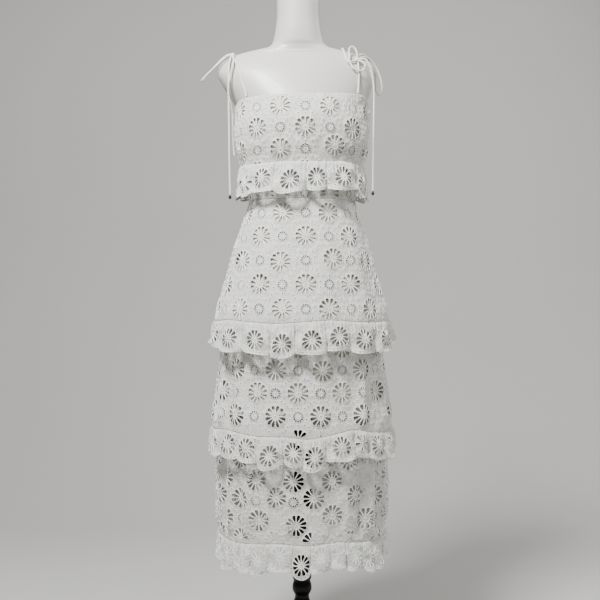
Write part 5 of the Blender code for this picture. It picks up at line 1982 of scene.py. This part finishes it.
BODICE_CREASES = (
    Crease(-0.160, 1.282, 1.176, 0.013, 0.0030, 0.02),
    Crease(-0.092, 1.300, 1.190, 0.020, 0.0014, -0.10),
    Crease(0.018, 1.305, 1.200, 0.024, 0.0014, 0.08),
    Crease(0.096, 1.300, 1.180, 0.018, 0.0016, 0.12),
    Crease(0.163, 1.278, 1.176, 0.012, 0.0032, -0.02),
    Crease(-0.060, 1.160, 1.090, 0.014, 0.0020, -0.15),
    Crease(0.055, 1.160, 1.090, 0.014, 0.0020, 0.15),
)
BODICE_BACK_CREASES = (
    Crease(-0.150, 1.270, 1.176, 0.013, 0.0030, 0.02),
    Crease(-0.050, 1.240, 1.170, 0.020, 0.0016, -0.06),
    Crease(0.062, 1.245, 1.172, 0.018, 0.0018, 0.09),
    Crease(0.152, 1.272, 1.176, 0.012, 0.0028, -0.02),
)
UPPER_CREASES = creased(0.812, (
    (-0.262, 1.050, 0.012, 0.0050, 0.33), (-0.212, 1.062, 0.015, 0.0060, 0.28),
    (-0.160, 1.010, 0.013, -0.0016, 0.20), (-0.104, 1.020, 0.020, 0.0036, 0.13),
    (-0.036, 0.980, 0.018, -0.0016, 0.04), (0.052, 1.045, 0.021, 0.0036, -0.07),
    (0.104, 1.015, 0.014, -0.0016, -0.14), (0.152, 1.060, 0.017, 0.0055, -0.20),
    (0.202, 1.000, 0.012, -0.0016, -0.26), (0.246, 1.050, 0.013, 0.0055, -0.32),
))
UPPER_BACK_CREASES = creased(0.812, (
    (-0.240, 1.055, 0.014, 0.0058, 0.31), (-0.165, 1.030, 0.018, 0.0046, 0.20),
    (-0.112, 1.000, 0.013, -0.0016, 0.13), (-0.040, 1.050, 0.022, 0.0042, 0.05),
    (0.034, 0.990, 0.016, -0.0018, -0.04), (0.088, 1.040, 0.019, 0.0050, -0.11),
    (0.180, 1.055, 0.016, 0.0056, -0.23), (0.258, 1.045, 0.012, 0.0048, -0.33),
))
MIDDLE_CREASES = creased(0.566, (
    (-0.272, 0.760, 0.010, 0.0075, 0.02), (-0.214, 0.770, 0.012, 0.0085, 0.03),
    (-0.184, 0.740, 0.010, -0.0016, 0.00), (-0.150, 0.755, 0.012, 0.0060, -0.02),
    (-0.058, 0.735, 0.024, 0.0034, 0.05), (0.040, 0.745, 0.021, 0.0036, -0.04),
    (0.112, 0.760, 0.009, -0.0016, 0.00), (0.138, 0.775, 0.012, 0.0090, 0.01),
    (0.178, 0.730, 0.010, -0.0016, 0.02), (0.214, 0.770, 0.012, 0.0088, -0.02),
    (0.268, 0.755, 0.010, 0.0075, -0.03),
))
MIDDLE_BACK_CREASES = creased(0.566, (
    (-0.262, 0.765, 0.011, 0.0080, 0.02), (-0.190, 0.750, 0.014, 0.0070, -0.02),
    (-0.150, 0.735, 0.010, -0.0016, 0.00), (-0.096, 0.770, 0.017, 0.0062, 0.04),
    (-0.010, 0.740, 0.022, 0.0040, -0.03), (0.072, 0.765, 0.014, 0.0075, 0.02),
    (0.108, 0.740, 0.010, -0.0016, 0.00), (0.160, 0.755, 0.015, 0.0066, -0.03),
    (0.248, 0.770, 0.012, 0.0082, -0.02),
))
LOWER_CREASES = creased(0.326, (
    (-0.278, 0.535, 0.009, 0.0080, 0.02), (-0.236, 0.548, 0.011, 0.0100, 0.03),
    (-0.206, 0.520, 0.009, -0.0060, 0.02), (-0.176, 0.540, 0.012, 0.0100, 0.00),
    (-0.147, 0.510, 0.009, -0.0050, -0.02), (-0.116, 0.505, 0.014, 0.0064, -0.04),
    (-0.030, 0.500, 0.020, 0.0034, 0.06), (0.046, 0.520, 0.018, 0.0036, -0.05),
    (0.099, 0.510, 0.016, 0.0056, 0.03), (0.134, 0.520, 0.009, -0.0050, 0.02),
    (0.164, 0.540, 0.012, 0.0096, 0.00), (0.195, 0.515, 0.009, -0.0060, -0.02),
    (0.226, 0.546, 0.011, 0.0100, -0.03), (0.276, 0.530, 0.009, 0.0080, -0.02),
))
LOWER_BACK_CREASES = creased(0.326, (
    (-0.256, 0.545, 0.011, 0.0095, 0.02), (-0.216, 0.520, 0.009, -0.0055, 0.00),
    (-0.178, 0.540, 0.013, 0.0090, -0.02), (-0.110, 0.520, 0.016, 0.0070, 0.04),
    (-0.070, 0.505, 0.010, -0.0045, 0.02), (-0.012, 0.530, 0.018, 0.0060, -0.03),
    (0.078, 0.545, 0.014, 0.0080, 0.02), (0.116, 0.510, 0.010, -0.0050, 0.00),
    (0.162, 0.535, 0.013, 0.0088, -0.02), (0.238, 0.545, 0.011, 0.0100, -0.03),
))


CREASES = {
    "bodice": {Side.FRONT: BODICE_CREASES, Side.BACK: BODICE_BACK_CREASES},
    "skirt_upper": {Side.FRONT: UPPER_CREASES, Side.BACK: UPPER_BACK_CREASES},
    "skirt_middle": {Side.FRONT: MIDDLE_CREASES, Side.BACK: MIDDLE_BACK_CREASES},
    "skirt_lower": {Side.FRONT: LOWER_CREASES, Side.BACK: LOWER_BACK_CREASES},
}
REPEATS = {
    "bodice": {
        Side.FRONT: Repeat(Flower(-0.049, 1.194), 0.112, 0.048,
                           (Flower(-0.049, 1.194), Flower(0.074, 1.202))),
        Side.BACK: Repeat(Flower(0.004, 1.196), 0.108, 0.050),
    },
    "skirt_upper": {
        Side.FRONT: Repeat(Flower(0.008, 0.998), 0.103, 0.054,
                           (Flower(0.008, 0.998), Flower(-0.048, 0.940), Flower(0.070, 0.948))),
        Side.BACK: Repeat(Flower(-0.006, 0.990), 0.103, 0.054),
    },
    "skirt_middle": {
        Side.FRONT: Repeat(Flower(-0.009, 0.652), 0.098, 0.050,
                           (Flower(-0.100, 0.652), Flower(-0.009, 0.652), Flower(0.045, 0.700))),
        Side.BACK: Repeat(Flower(0.012, 0.660), 0.098, 0.050),
    },
    "skirt_lower": {
        Side.FRONT: Repeat(Flower(-0.019, 0.462), 0.084, 0.044,
                           (Flower(-0.013, 0.367), Flower(-0.019, 0.462), Flower(-0.057, 0.426),
                            Flower(0.025, 0.425), Flower(-0.096, 0.375), Flower(0.066, 0.388),
                            Flower(0.121, 0.428))),
        Side.BACK: Repeat(Flower(-0.055, 0.420), 0.100, 0.052,
                          (Flower(-0.055, 0.420), Flower(0.060, 0.400))),
    },
}
NECKS = {Side.FRONT: front_neck, Side.BACK: back_neck}
NECK_ROW = -2.2 * MM
SEAM_ROW = 2.0 * MM


def panels() -> Iterable[LacePanel]:
    """The bodice and the three tiers, front and back."""
    gap = SEAM_GAP / 2
    for side in Side:
        yield LacePanel(f"bodice_{side.value}", side, NECKS[side], WAIST_SEAM.edge(side, gap),
                        REPEATS["bodice"][side], CREASES["bodice"][side],
                        (("neck", NECKS[side], NECK_ROW),
                         ("bust", BUST_SEAM.edge(side, 0.0), SEAM_ROW)),
                        (f"lining_{side.value}",), held="draped")
    for name, above, below, lined in (("skirt_upper", WAIST_SEAM, UPPER_SEAM, True),
                                      ("skirt_middle", UPPER_SEAM, MIDDLE_SEAM, True),
                                      ("skirt_lower", MIDDLE_SEAM, HEM_SEAM, False)):
        for side in Side:
            yield LacePanel(f"{name}_{side.value}", side, above.edge(side, -gap),
                            below.edge(side, gap), REPEATS[name][side], CREASES[name][side],
                            (("seam", below.edge(side, 0.0), SEAM_ROW),),
                            (f"lining_{side.value}",) if lined else ())


def cords_and_knots() -> None:
    """The straps, the ties with their beads, and the knots."""
    for name, lie in STRAPS.items():
        Cord(name, lie).build()
    for name, item in KNOTS.items():
        WrappedKnot(name, item).build()
    for name, lie in TIES.items():
        cord = Cord(name, lie)
        obj = cord.build()
        if name in BEADS:
            Bead(BEADS[name], lie.points[-1]).build()
        tuple(float(c) for c in cord.route[0])
        cord.length()


class Lamp(NamedTuple):
    """A square lamp: where it stands, what it is aimed at, its size in metres and its watts."""

    name: str
    place: tuple[float, float, float]
    aim: tuple[float, float, float]
    size: float
    power: float


LAMPS = (
    Lamp("key_light", (-0.7, -1.2, 2.65), (0.0, 0.0, 1.25), 0.5, 136.0),
    Lamp("fill_light", (2.0, -2.6, 2.6), (0.0, 0.0, 1.3), 1.4, 30.0),
    Lamp("rim_light", (2.3, 0.9, 2.3), (0.0, 0.0, 1.0), 1.2, 42.0),
)
WORLD_COLOUR = "F4F4F2"
WORLD_STRENGTH = 0.22
BOARD_HALF_WIDTH = 5.0
BOARD_FRONT = -3.5
BOARD_BEND = 1.4
BOARD_BEND_RADIUS = 1.2
BOARD_TOP = 4.5


def stage() -> None:
    """A pale floor that curves up behind, and soft wide lights."""
    rows = [(BOARD_FRONT, 0.0), (BOARD_BEND, 0.0)]
    rows += [(BOARD_BEND + BOARD_BEND_RADIUS * math.sin(a), BOARD_BEND_RADIUS * (1 - math.cos(a)))
             for a in np.linspace(0.1, math.pi / 2, 12)]
    rows.append((BOARD_BEND + BOARD_BEND_RADIUS, BOARD_TOP))
    points = [(x, y, z) for y, z in rows for x in (-BOARD_HALF_WIDTH, BOARD_HALF_WIDTH)]
    board = mesh_piece("backdrop", points, grid_faces(len(rows), 2), (PALE_BOARD,))
    for lamp in LAMPS:
        data = bpy.data.lights.new(lamp.name, "AREA")
        data.size = lamp.size
        data.energy = lamp.power
        obj = bpy.data.objects.new(lamp.name, data)
        obj.location = Vector(lamp.place)
        aim = Vector(lamp.aim) - Vector(lamp.place)
        obj.rotation_euler = aim.to_track_quat("-Z", "Y").to_euler()
        bpy.context.scene.collection.objects.link(obj)
        log.info("%s: %.0f W", lamp.name, lamp.power)
    world = bpy.data.worlds.new("studio")
    world.use_nodes = True
    background = world.node_tree.nodes["Background"]
    background.inputs["Color"].default_value = linear(WORLD_COLOUR)
    background.inputs["Strength"].default_value = WORLD_STRENGTH
    bpy.context.scene.world = world


def main() -> None:
    """Build the whole scene."""
    ViewPoint().add_camera()
    cords_and_knots()
    for panel in panels():
        panel.build()
    for ruffle in RUFFLES:
        for side in Side:
            ruffle.build(side)
    for side in Side:
        Lining(side).build()
    DressForm().build()
    Turning("turned_column", "stand_column", COLUMN_OUTLINE).build()
    Turning("turned_base", "stand_base", BASE_OUTLINE).build()
    stage()


if __name__ == "__main__":
    logging.basicConfig(level=logging.INFO, format="%(message)s")
    main()
